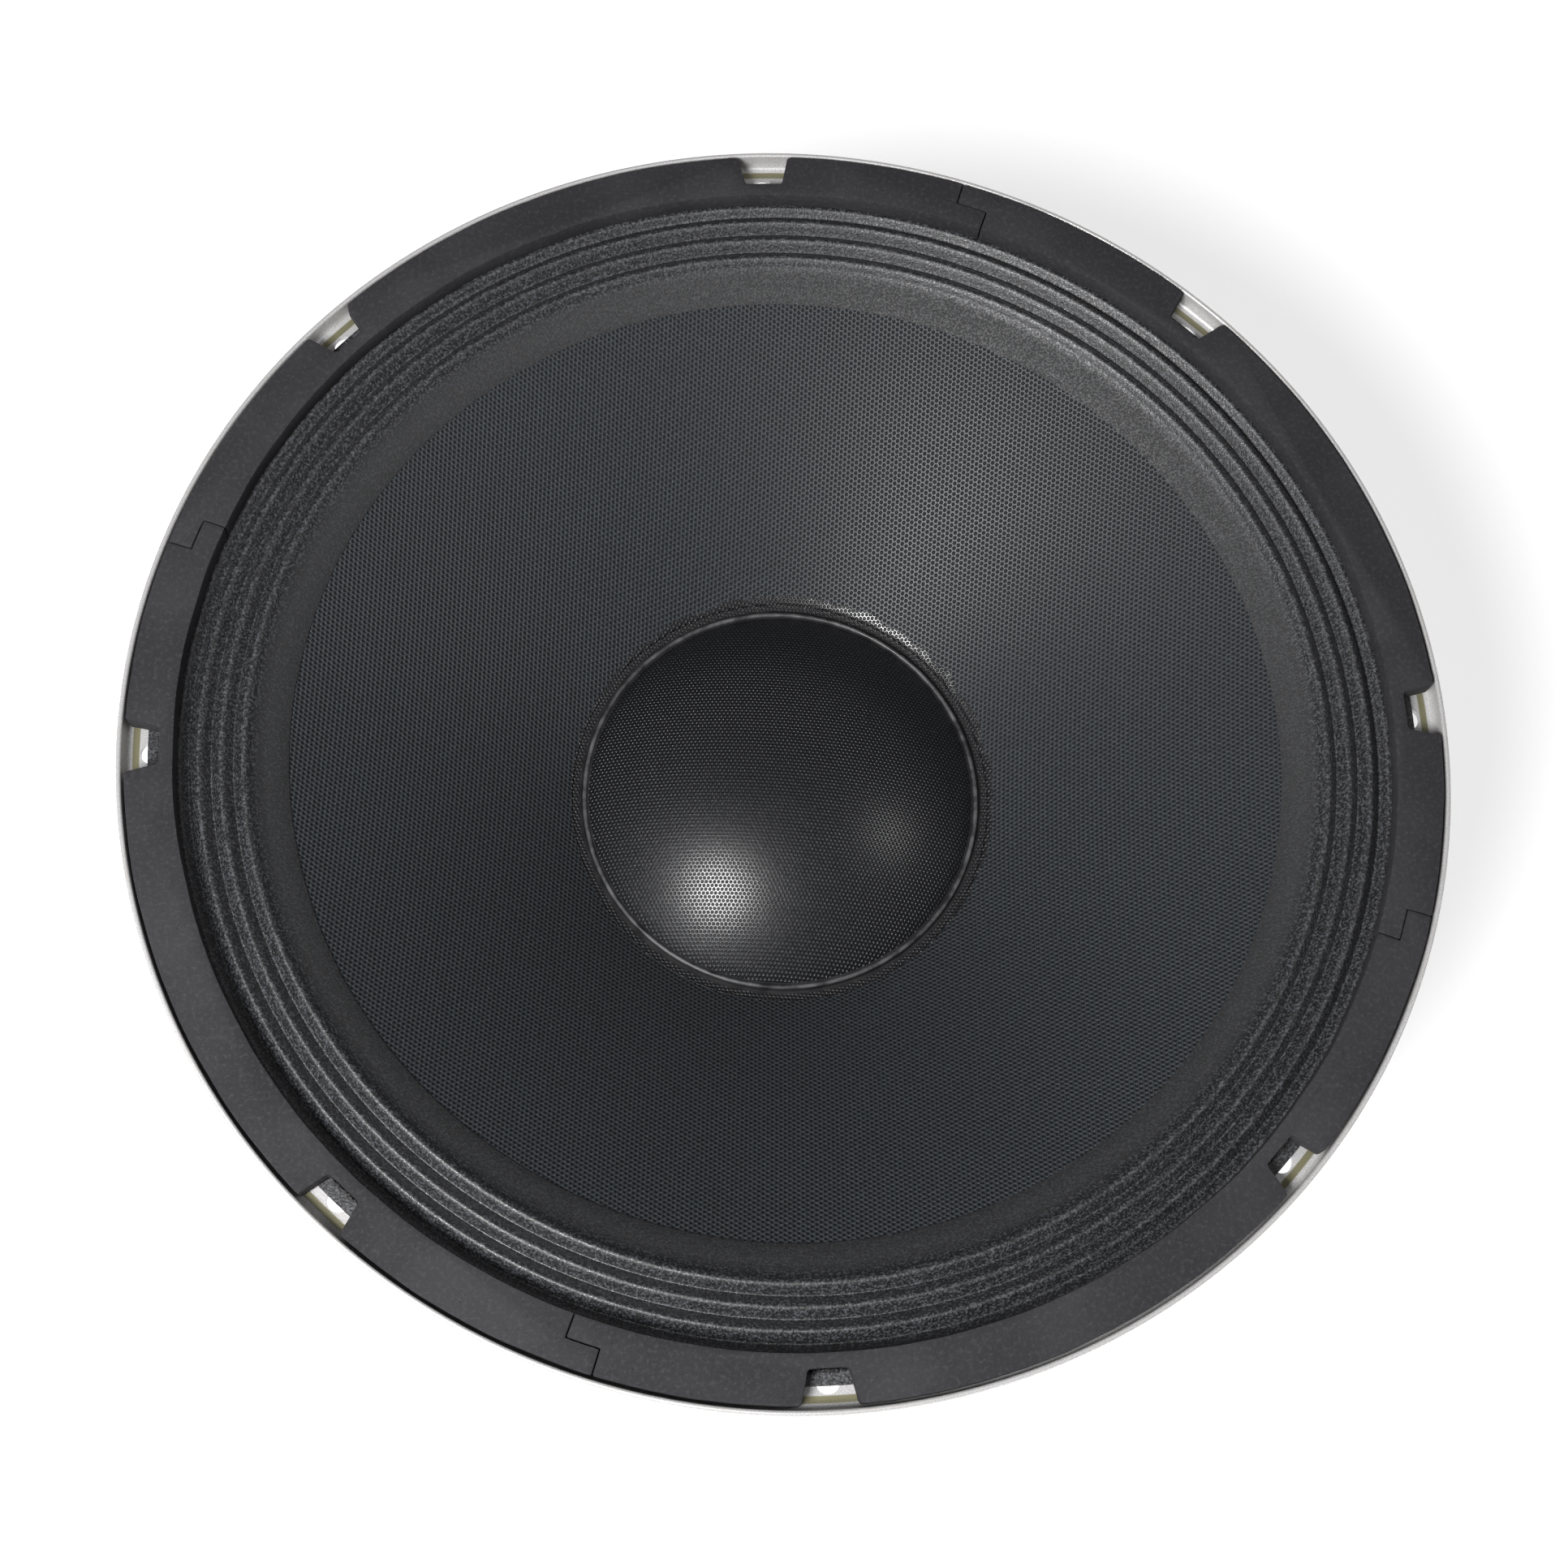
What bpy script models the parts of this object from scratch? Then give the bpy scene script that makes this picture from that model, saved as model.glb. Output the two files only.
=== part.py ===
"""A round 15 inch class woofer driver, built from its separate pieces.

Metres, +Z up. The driver stands on its magnet: the origin is the centre of the back plate's rear face,
and +Z runs along the cone's axis, out of the front. The bolt holes lie at every 45 degrees from +X.
"""

import math

import bmesh
import bpy
from mathutils import Matrix, Vector

MM = 0.001
GAP = 0.3 * MM            # clearance between pieces that touch
SEGMENTS = 48             # sides of the large turned pieces
MOTOR_SEGMENTS = 32       # sides of the coil, cap, spider and motor
SMALL_SEGMENTS = 12       # sides of screws and holes

# Driving dimensions
OVERALL_DEPTH = 148.0 * MM
RIM_RADIUS = 194.3 * MM
SHEET = 1.6 * MM          # basket steel
LIP_DROP = 1.4 * MM       # gasket face down to the top of the basket's lip
FLANGE_DROP = 7.6 * MM    # gasket face down to the flange
LIP_CORNER = 1.6 * MM     # chamfer where the flange turns up into the lip
HOLE_CIRCLE_RADIUS = 185.0 * MM
HOLE_RADIUS = 3.3 * MM
HOLE_COUNT = 8

GASKET_OUTER = 191.7 * MM
GASKET_INNER = 177.9 * MM
GASKET_THICKNESS = 6.5 * MM
GASKET_STEP_RADIUS = 184.6 * MM
GASKET_SEGMENTS = 4
JOINT_OUTER_ANGLE = math.radians(-19.25)
JOINT_INNER_ANGLE = math.radians(-22.25)
NOTCH_DEPTH = 9.7 * MM
NOTCH_OUTER_WIDTH = 15.9 * MM
NOTCH_INNER_WIDTH = 11.4 * MM
NOTCH_CHAMFER = (1.2 * MM, 1.4 * MM)

CLOTH = 0.6 * MM
SURROUND_OUTER = 186.2 * MM
SURROUND_EDGE = 147.0 * MM        # inner edge of the surround's glued flap
ROLL_PITCH = 6.35 * MM
FIRST_CREST = 171.6 * MM
CREST_DROP = 5.3 * MM
VALLEY_DROP = 8.8 * MM
VALLEY_RISE = 0.1 * MM            # each valley above the one outside it
OUTER_VALLEY_DIP = 0.3 * MM
FLANGE_BEND = 177.0 * MM          # inner edge of the surround's flat outer ring
ROLLS = 3

PAPER = 1.2 * MM
CONE_EDGE_DROP = 14.3 * MM        # gasket face down to the cone at the flap's inner edge
CONE_RIM_RADIUS = 154.5 * MM
CONE_EDGE_SLOPE = 0.55
CONE_CURVATURE = 2.0              # added slope per metre towards the centre
CONE_MIDDLE_RADII = (112.0 * MM, 78.0 * MM)
CONE_NECK_RADIUS = 39.2 * MM

CAP_RADIUS = 62.0 * MM
CAP_RIM_DROP = 64.2 * MM
CAP_HEIGHT = 22.0 * MM
CAP_FLANGE_RADIUS = 65.6 * MM
CAP_PAPER = 0.8 * MM
CAP_BEAD = 0.8 * MM               # width of the raised bead round the dome
CAP_SKIRT = 1.6 * MM              # drop of the skirt outside the bead
CAP_GLUE_DEPTH = 2.0 * MM         # the skirt's inner edge below the seat

BACK_PLATE_RADIUS = 78.0 * MM
BACK_PLATE = 10.0 * MM
MAGNET_RADIUS = 85.0 * MM
MAGNET_BORE = 46.0 * MM
TOP_PLATE_RADIUS = 75.0 * MM
TOP_PLATE_FRONT = 38.0 * MM
TOP_PLATE = 8.0 * MM
GAP_OUTER = 40.1 * MM             # bore of the top plate
POLE_RADIUS = 37.1 * MM
VENT_RADIUS = 14.0 * MM
SCREEN_RADIUS = 18.0 * MM
SCREEN_SPAN = (1.1 * MM, 1.9 * MM)
SCREEN_RECESS = 2.2 * MM
PLATE_CHAMFER = 1.0 * MM
MAGNET_CHAMFER = 1.5 * MM

FORMER_INNER = 37.7 * MM
FORMER_OUTER = 38.3 * MM
COLLAR_OUTER = 38.9 * MM
WINDING_OUTER = 39.4 * MM
FORMER_SPAN = (25.0 * MM, 66.0 * MM)
COLLAR_SPAN = (45.0 * MM, 65.5 * MM)
WINDING_SPAN = (27.0 * MM, 41.0 * MM)

LEDGE_HEIGHT = 50.7 * MM          # spider ledge
SPIDER_OUTER = 87.0 * MM
SPIDER_FLANGE = 79.5 * MM
SPIDER_WAVE = 4.0 * MM            # height of its corrugations
SPIDER_DIP = 1.0 * MM             # lowest point below its flange
SPIDER_NECK = 44.0 * MM           # radius where it turns up to the coil

SIDE_TOP = (172.0 * MM, 117.0 * MM)
SIDE_FOOT = (91.0 * MM, 52.0 * MM)
THROAT_RADIUS = 176.3 * MM        # inside of the wall below the flange
THROAT_CHAMFER = 1.4 * MM
SHOULDER = 4.5 * MM               # foot of that wall above the top of the sloping side
LEDGE_RADII = (88.5 * MM, 79.0 * MM)
CUP_WALL_RADII = (77.0 * MM, 75.5 * MM)
CUP_FLOOR_RADIUS = 73.9 * MM
CUP_CORNERS = (1.8 * MM, 1.6 * MM)
CUP_BORE = 42.5 * MM
SPOKES = 8
SPOKE_HALF_WIDTH = 14.0 * MM
WINDOW_INNER = 100.0 * MM
WINDOW_OUTER = 162.0 * MM
WINDOW_CORNER = 9.0 * MM
WINDOW_CUT = (54.0 * MM, 116.0 * MM)

SCREW_CIRCLE_RADIUS = 58.0 * MM
SCREWS = 6
SCREW_SHANK = 2.7 * MM
SCREW_HEAD = 5.4 * MM
SCREW_HEAD_HEIGHT = 3.6 * MM
SCREW_HEAD_SIDE = 1.6 * MM        # upright part of the head
SCREW_CROWN_RADIUS = 3.4 * MM
SCREW_REACH = 6.0 * MM            # into the top plate

TERMINAL_HALF_WIDTH = 22.0 * MM
TERMINAL_NEAR = 112.0 * MM
TERMINAL_FAR = 148.0 * MM
FACEPLATE_REAR = 58.0 * MM
FACEPLATE = 2.0 * MM
BUTTON_X = 11.0 * MM
BUTTON_Y = 130.0 * MM
BUTTON_WIDTH = 8.6 * MM
BUTTON_FLANGE = 10.0 * MM
BUTTON_PROUD = 4.0 * MM
BUTTON_FLANGE_HEIGHT = 1.7 * MM
BUTTON_SLACK = 0.3 * MM           # around the button in its opening
CAVITY_TOP = 74.0 * MM
SPRING_WIRE = 0.35 * MM           # radius
SPRING_RADIUS = 2.6 * MM
SPRING_TURNS = 4
WIRE_HOLE_Y = 141.0 * MM
WIRE_HOLE_RADIUS = 1.7 * MM
WIRE_HOLE_TOP = 69.0 * MM
LUG_X = 18.0 * MM
LUG = (0.8 * MM, 5.0 * MM)         # thickness and width
LUG_SLOT_FLOOR = 76.0 * MM
LUG_TOP = 92.0 * MM
TERMINAL_SCREWS_Y = (118.0 * MM, 143.0 * MM)
TERMINAL_SHANK = 1.4 * MM
TERMINAL_SHANK_LENGTH = 8.6 * MM
TERMINAL_HEAD = 3.2 * MM
TERMINAL_HEAD_HEIGHT = 2.2 * MM
TERMINAL_SHEET_HOLE = 1.8 * MM    # in the basket
PILOT_HOLE = 1.7 * MM             # in the housing

LEAD_RADIUS = 1.1 * MM
OVERCUT = 1.0 * MM                # how far cutters pass through a face

FLANGE_FACE = OVERALL_DEPTH - FLANGE_DROP
SIDE_SLOPE = (SIDE_TOP[1] - SIDE_FOOT[1]) / (SIDE_TOP[0] - SIDE_FOOT[0])
SIDE_ANGLE = math.atan(SIDE_SLOPE)
CUP_FLOOR = TOP_PLATE_FRONT + GAP + SHEET

MATERIALS = {
    "painted_steel": ((0.62, 0.62, 0.60), 0.45, 0.3),
    "fibre": ((0.045, 0.045, 0.048), 0.9, 0.0),
    "cloth": ((0.015, 0.015, 0.016), 0.6, 0.0),
    "pressed_paper": ((0.022, 0.027, 0.028), 0.65, 0.0),
    "cap_paper": ((0.018, 0.018, 0.02), 0.45, 0.0),
    "spider_cloth": ((0.45, 0.33, 0.12), 0.85, 0.0),
    "kraft_paper": ((0.12, 0.09, 0.06), 0.8, 0.0),
    "coil_film": ((0.20, 0.10, 0.03), 0.35, 0.0),
    "copper": ((0.72, 0.30, 0.16), 0.3, 1.0),
    "ferrite": ((0.05, 0.05, 0.055), 0.6, 0.0),
    "plated_steel": ((0.70, 0.70, 0.68), 0.3, 1.0),
    "tinned_brass": ((0.75, 0.72, 0.62), 0.3, 1.0),
    "moulded_black": ((0.02, 0.02, 0.02), 0.5, 0.0),
    "moulded_red": ((0.55, 0.02, 0.02), 0.4, 0.0),
}


# --- Scene, materials and building helpers ---------------------------------------------------------

def clear_scene():
    for item in list(bpy.data.objects):
        bpy.data.objects.remove(item, do_unlink=True)


def new_collection(name):
    collection = bpy.data.collections.new(name)
    bpy.context.scene.collection.children.link(collection)
    return collection


def make_material(name):
    colour, roughness, metallic = MATERIALS[name]
    material = bpy.data.materials.new(name)
    material.use_nodes = True
    shader = material.node_tree.nodes["Principled BSDF"]
    shader.inputs["Base Color"].default_value = (*colour, 1.0)
    shader.inputs["Roughness"].default_value = roughness
    shader.inputs["Metallic"].default_value = metallic
    return material


def add_object(name, data, material=None):
    """Link a new object: a part when it has a material, a cutter when it has none."""
    item = bpy.data.objects.new(name, data)
    if material:
        if material not in materials:
            materials[material] = make_material(material)
        data.materials.append(materials[material])
        parts.objects.link(item)
    else:
        cutters.objects.link(item)
        item.hide_render = True
        item.display_type = "WIRE"
    return item


def turned(name, outline, material, steps=MOTOR_SEGMENTS, solid=False):
    """A turned shape from (radius, height) points, outer side first and from top to bottom.

    A solid's outline starts and ends on the axis; any other outline is closed back to its start.
    """
    count = len(outline)
    edges = [(i, i + 1) for i in range(count - 1)]
    if not solid:
        edges.append((count - 1, 0))
    mesh = bpy.data.meshes.new(name)
    mesh.from_pydata([(radius, 0.0, height) for radius, height in outline], edges, [])
    item = add_object(name, mesh, material)
    screw = item.modifiers.new("Turn", "SCREW")
    screw.axis = "Z"
    screw.steps = steps
    screw.render_steps = steps
    screw.use_merge_vertices = True
    screw.merge_threshold = 0.01 * MM
    return item


def offset_line(points, distance):
    """The points moved sideways to the rear face of a sheet, with mitred corners."""
    moved = []
    for i, point in enumerate(points):
        here = Vector(point)
        before = here - Vector(points[i - 1]) if i > 0 else Vector(points[i + 1]) - here
        after = Vector(points[i + 1]) - here if i < len(points) - 1 else before
        normals = [Vector((-leg.y, leg.x)).normalized() for leg in (before, after)]
        middle = (normals[0] + normals[1]).normalized()
        moved.append(tuple(here + middle * (distance / middle.dot(normals[0]))))
    return moved


def turned_sheet(name, front, thickness, material):
    """A turned sheet from its front face's points, from the rim inwards."""
    return turned(name, offset_line(front, thickness) + front[::-1], material, SEGMENTS)


def plate(name, outlines, low, high, material=None, rotation=(0.0, 0.0, 0.0), location=(0, 0, 0)):
    """Flat outlines in local XY, extruded from low to high along local Z."""
    curve = bpy.data.curves.new(name, "CURVE")
    curve.dimensions = "2D"
    curve.fill_mode = "BOTH"
    curve.extrude = (high - low) / 2
    curve.render_resolution_u = 0
    for outline in outlines:
        spline = curve.splines.new("POLY")
        spline.points.add(len(outline) - 1)
        for target, (x, y) in zip(spline.points, outline):
            target.co = (x, y, 0.0, 1.0)
        spline.use_cyclic_u = True
    item = add_object(name, curve, material)
    turn = Matrix.Rotation(rotation[2], 4, "Z") @ Matrix.Rotation(rotation[0], 4, "X")
    item.rotation_euler = rotation
    item.location = Vector(location) + turn @ Vector((0.0, 0.0, (low + high) / 2))
    return item


def as_mesh(curve_object):
    """Replace a curve object with a closed mesh object of the same name and place."""
    bpy.context.view_layer.update()
    evaluated = curve_object.evaluated_get(bpy.context.evaluated_depsgraph_get())
    mesh = bpy.data.meshes.new_from_object(evaluated)
    shape = bmesh.new()
    shape.from_mesh(mesh)
    bmesh.ops.remove_doubles(shape, verts=shape.verts, dist=0.01 * MM)
    bmesh.ops.recalc_face_normals(shape, faces=shape.faces)
    shape.to_mesh(mesh)
    shape.free()
    name = curve_object.name
    placed = curve_object.matrix_world.copy()
    is_cutter = curve_object.name in cutters.objects
    bpy.data.objects.remove(curve_object, do_unlink=True)
    item = bpy.data.objects.new(name, mesh)
    (cutters if is_cutter else parts).objects.link(item)
    item.matrix_world = placed
    if is_cutter:
        item.hide_render = True
        item.display_type = "WIRE"
    return item


def bars(name, places, radius, low, high):
    """Cutters: round bars along Z, from low to high, one at each (x, y) place."""
    shape = bmesh.new()
    for x, y in places:
        bmesh.ops.create_cone(
            shape, cap_ends=True, segments=SMALL_SEGMENTS, radius1=radius, radius2=radius,
            depth=high - low, matrix=Matrix.Translation((x, y, (low + high) / 2)))
    mesh = bpy.data.meshes.new(name)
    shape.to_mesh(mesh)
    shape.free()
    return add_object(name, mesh)


def boxes(name, corners, material=None):
    """Boxes given by their lowest and highest corners."""
    shape = bmesh.new()
    for low, high in corners:
        size = Vector(high) - Vector(low)
        centre = (Vector(high) + Vector(low)) / 2
        bmesh.ops.create_cube(
            shape, size=1.0, matrix=Matrix.Translation(centre) @ Matrix.Diagonal((*size, 1.0)))
    mesh = bpy.data.meshes.new(name)
    shape.to_mesh(mesh)
    shape.free()
    return add_object(name, mesh, material)


def cut(item, cutter):
    boolean = item.modifiers.new("Cut " + cutter.name, "BOOLEAN")
    boolean.operation = "DIFFERENCE"
    boolean.solver = "EXACT"
    boolean.object = cutter


def ring_places(count, radius):
    angles = [2 * math.pi * i / count for i in range(count)]
    return [(radius * math.cos(angle), radius * math.sin(angle)) for angle in angles]


def arc(radius, start, end, steps):
    """Points on a circle about the axis, both ends included."""
    angles = [start + (end - start) * i / steps for i in range(steps + 1)]
    return [(radius * math.cos(angle), radius * math.sin(angle)) for angle in angles]


def smooth_route(points, per_leg):
    """A smooth (Catmull-Rom) curve through the points."""
    padded = [points[0] * 2 - points[1]] + points + [points[-1] * 2 - points[-2]]
    route = []
    for a, b, c, d in zip(padded, padded[1:], padded[2:], padded[3:]):
        for step in range(per_leg):
            t = step / per_leg
            route.append(0.5 * (2 * b + (c - a) * t + (2 * a - 5 * b + 4 * c - d) * t ** 2
                                + (3 * b - a - 3 * c + d) * t ** 3))
    return route + [points[-1]]


def tube(name, points, radius, material, bevel_resolution=2, location=(0, 0, 0)):
    curve = bpy.data.curves.new(name, "CURVE")
    curve.dimensions = "3D"
    curve.bevel_depth = radius
    curve.bevel_resolution = bevel_resolution
    curve.use_fill_caps = True
    curve.render_resolution_u = 0
    spline = curve.splines.new("POLY")
    spline.points.add(len(points) - 1)
    for target, point in zip(spline.points, points):
        target.co = (*point, 1.0)
    item = add_object(name, curve, material)
    item.location = location
    return item


# --- Basket -----------------------------------------------------------------------------------------

def side_front(radius):
    """Height of the basket side's inner face."""
    return SIDE_TOP[1] - (SIDE_TOP[0] - radius) * SIDE_SLOPE


def side_rear(radius):
    """Height of the basket side's outer face."""
    return side_front(radius) - SHEET / math.cos(SIDE_ANGLE)


def window_half_angle(radius):
    """Half the window's angle at a radius: a gap between two spokes with rounded corners."""
    half_width = radius * (math.pi / SPOKES - math.asin(SPOKE_HALF_WIDTH / radius))
    from_end = min(radius - WINDOW_INNER, WINDOW_OUTER - radius)
    if from_end < WINDOW_CORNER:
        half_width -= WINDOW_CORNER - math.sqrt(WINDOW_CORNER ** 2 - (WINDOW_CORNER - from_end) ** 2)
    return half_width / radius


def window_outline(centre_angle):
    ends = (0.0, 0.3, 1.0)
    radii = [WINDOW_INNER + WINDOW_CORNER * part for part in ends]
    radii += [WINDOW_OUTER - WINDOW_CORNER * part for part in ends[::-1]]
    right = [(radius, centre_angle - window_half_angle(radius)) for radius in radii]
    left = [(radius, centre_angle + window_half_angle(radius)) for radius in radii[::-1]]
    outer = [(WINDOW_OUTER, centre_angle + window_half_angle(WINDOW_OUTER) * part)
             for part in (-0.5, 0.0, 0.5)]
    return [(radius * math.cos(angle), radius * math.sin(angle))
            for radius, angle in right + outer + left]


def build_basket():
    lip_top = OVERALL_DEPTH - LIP_DROP
    lip_inner = RIM_RADIUS - SHEET
    front = [
        (lip_inner, lip_top),
        (lip_inner, FLANGE_FACE + LIP_CORNER),
        (lip_inner - LIP_CORNER, FLANGE_FACE),
        (THROAT_RADIUS + THROAT_CHAMFER, FLANGE_FACE),
        (THROAT_RADIUS, FLANGE_FACE - THROAT_CHAMFER),
        (THROAT_RADIUS, SIDE_TOP[1] + SHOULDER),
        SIDE_TOP,
        SIDE_FOOT,
        (LEDGE_RADII[0], LEDGE_HEIGHT),
        (LEDGE_RADII[1], LEDGE_HEIGHT),
        (CUP_WALL_RADII[0], LEDGE_HEIGHT - CUP_CORNERS[0]),
        (CUP_WALL_RADII[1], CUP_FLOOR + CUP_CORNERS[1]),
        (CUP_FLOOR_RADIUS, CUP_FLOOR),
        (CUP_BORE, CUP_FLOOR),
    ]
    basket = turned_sheet("basket", front, SHEET, "painted_steel")
    angles = [math.pi / SPOKES * (2 * i + 1) for i in range(SPOKES)]
    windows = as_mesh(plate("window_cutter", [window_outline(angle) for angle in angles], *WINDOW_CUT))
    cut(basket, windows)
    cut(basket, bars("bolt_hole_cutter", ring_places(HOLE_COUNT, HOLE_CIRCLE_RADIUS), HOLE_RADIUS,
                     FLANGE_FACE - SHEET - OVERCUT, FLANGE_FACE + OVERCUT))
    cut(basket, bars("screw_hole_cutter", ring_places(SCREWS, SCREW_CIRCLE_RADIUS),
                     SCREW_SHANK + 2 * GAP, CUP_FLOOR - SHEET - OVERCUT, CUP_FLOOR + OVERCUT))
    for number, y in enumerate(TERMINAL_SCREWS_Y, start=1):
        cutter = bars(f"terminal_hole_cutter_{number}", [(0.0, 0.0)], TERMINAL_SHEET_HOLE,
                      -SHEET - OVERCUT, OVERCUT)
        place_on_spoke(cutter, y)
        cut(basket, cutter)


def place_on_spoke(item, y):
    """Put an item's origin on the +Y spoke's inner face, with its +Z along the face's normal."""
    item.location = (0.0, y, side_front(y))
    item.rotation_euler = (SIDE_ANGLE, 0.0, 0.0)


# --- Gasket -----------------------------------------------------------------------------------------

def notch_points(angle):
    """A notch's corners, clockwise side first, with its two rounded outer corners."""
    inner = GASKET_OUTER - NOTCH_DEPTH
    along = Vector((math.cos(angle), math.sin(angle)))
    across = Vector((-along.y, along.x))
    half_mouth = NOTCH_OUTER_WIDTH / 2
    half_floor = NOTCH_INNER_WIDTH / 2
    mouth_edge = math.sqrt(GASKET_OUTER ** 2 - half_mouth ** 2)
    corners = [
        (mouth_edge, -half_mouth),
        (mouth_edge - NOTCH_CHAMFER[0], -half_mouth + NOTCH_CHAMFER[1]),
        (inner + NOTCH_CHAMFER[0], -half_floor),
        (inner, -half_floor + NOTCH_CHAMFER[0]),
    ]
    corners += [(depth, -side) for depth, side in corners[::-1]]
    return [tuple(along * depth + across * side) for depth, side in corners]


def gasket_outline(first_angle):
    """One segment, anticlockwise from its first Z joint to the next."""
    quarter = 2 * math.pi / GASKET_SEGMENTS
    slack = GAP / 2
    start_outer = first_angle + JOINT_OUTER_ANGLE + slack / GASKET_OUTER
    end_outer = first_angle + JOINT_OUTER_ANGLE + quarter - slack / GASKET_OUTER
    start_inner = first_angle + JOINT_INNER_ANGLE + slack / GASKET_INNER
    end_inner = first_angle + JOINT_INNER_ANGLE + quarter - slack / GASKET_INNER
    half_notch = math.asin(NOTCH_OUTER_WIDTH / 2 / GASKET_OUTER)
    notches = (first_angle, first_angle + math.pi / 4)
    stops = [start_outer]
    outline = []
    for notch in notches:
        outline += arc(GASKET_OUTER, stops[-1], notch - half_notch, 4)[:-1]
        outline += notch_points(notch)
        stops.append(notch + half_notch)
    outline += arc(GASKET_OUTER, stops[-1], end_outer, 4)[1:]
    outline += arc(GASKET_STEP_RADIUS + slack, end_outer, end_inner, 1)
    outline += arc(GASKET_INNER, end_inner, start_inner, 12)
    outline += arc(GASKET_STEP_RADIUS - slack, start_inner, start_outer, 1)
    return outline


def build_gasket():
    for number in range(GASKET_SEGMENTS):
        outline = gasket_outline(2 * math.pi / GASKET_SEGMENTS * number)
        plate(f"gasket_segment_{number + 1}", [outline], OVERALL_DEPTH - GASKET_THICKNESS,
              OVERALL_DEPTH, "fibre")


# --- Moving diaphragm -------------------------------------------------------------------------------

def cone_front(radius):
    """Height of the cone's front face: a slightly curved cone."""
    inwards = SURROUND_EDGE - radius
    curve = CONE_CURVATURE * inwards ** 2 / 2 if inwards > 0 else 0.0
    return OVERALL_DEPTH - CONE_EDGE_DROP - CONE_EDGE_SLOPE * inwards - curve


def build_surround():
    flange_top = FLANGE_FACE + GAP + CLOTH
    front = [
        (SURROUND_OUTER, flange_top),
        (FLANGE_BEND, flange_top),
        (FIRST_CREST + ROLL_PITCH / 2, OVERALL_DEPTH - VALLEY_DROP - OUTER_VALLEY_DIP),
    ]
    for roll in range(ROLLS):
        crest = FIRST_CREST - roll * ROLL_PITCH
        front.append((crest, OVERALL_DEPTH - CREST_DROP))
        front.append((crest - ROLL_PITCH / 2, OVERALL_DEPTH - VALLEY_DROP + VALLEY_RISE * roll))
    front.append((SURROUND_EDGE, cone_front(SURROUND_EDGE) + CLOTH + 1.4 * GAP))
    turned_sheet("surround", front, CLOTH, "cloth")


def build_cone():
    radii = [CONE_RIM_RADIUS, SURROUND_EDGE, *CONE_MIDDLE_RADII, CONE_NECK_RADIUS]
    return turned_sheet("cone", [(radius, cone_front(radius)) for radius in radii], PAPER,
                        "pressed_paper")


def build_dust_cap():
    rim_height = OVERALL_DEPTH - CAP_RIM_DROP
    chord = CAP_RADIUS - CAP_BEAD
    sphere = (chord ** 2 + CAP_HEIGHT ** 2) / (2 * CAP_HEIGHT)
    widest = math.asin(chord / sphere)
    base = rim_height + CAP_HEIGHT - sphere
    steps = 5
    dome = [(sphere * math.sin(widest * i / steps), base + sphere * math.cos(widest * i / steps))
            for i in range(steps + 1)]
    inner = sphere - CAP_PAPER
    seat = cone_front(CAP_FLANGE_RADIUS) + GAP
    below = [(inner * math.sin(widest * i / steps), base + inner * math.cos(widest * i / steps))
             for i in range(steps, -1, -1)]
    outline = dome + [
        (CAP_RADIUS, rim_height + CAP_BEAD / 4),
        (CAP_RADIUS + CAP_BEAD, rim_height - CAP_SKIRT),
        (CAP_FLANGE_RADIUS, seat + 0.75 * CAP_PAPER),
        (CAP_FLANGE_RADIUS, seat + CAP_PAPER / 8),
        (CAP_RADIUS + CAP_BEAD / 4, seat - CAP_GLUE_DEPTH),
    ] + below
    return turned("dust_cap", outline, "cap_paper", solid=True)


def build_sleeve(name, outer, inner, span, material):
    low, high = span
    return turned(name, [(outer, high), (outer, low), (inner, low), (inner, high)], material)


def build_voice_coil():
    bonded = FORMER_OUTER + GAP
    return [
        build_sleeve("coil_former", FORMER_OUTER, FORMER_INNER, FORMER_SPAN, "coil_film"),
        build_sleeve("coil_collar", COLLAR_OUTER, bonded, COLLAR_SPAN, "kraft_paper"),
        build_sleeve("coil_winding", WINDING_OUTER, bonded, WINDING_SPAN, "copper"),
    ]


def build_spider():
    flange = LEDGE_HEIGHT + GAP
    low = flange - SPIDER_DIP
    high = low + SPIDER_WAVE
    inner = COLLAR_OUTER + GAP
    turned("spider", [
        (SPIDER_OUTER, flange + CLOTH), (SPIDER_OUTER, flange),
        (SPIDER_FLANGE - SPIDER_DIP / 2, flange),
        (SPIDER_FLANGE - SPIDER_DIP / 2 - SPIDER_WAVE, low), (SPIDER_NECK, low),
        (inner, low + SPIDER_DIP), (inner, high), (SPIDER_NECK, high),
        (SPIDER_FLANGE - SPIDER_WAVE / 2, high), (SPIDER_FLANGE, flange + CLOTH)], "spider_cloth")


# --- Motor ------------------------------------------------------------------------------------------

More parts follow.
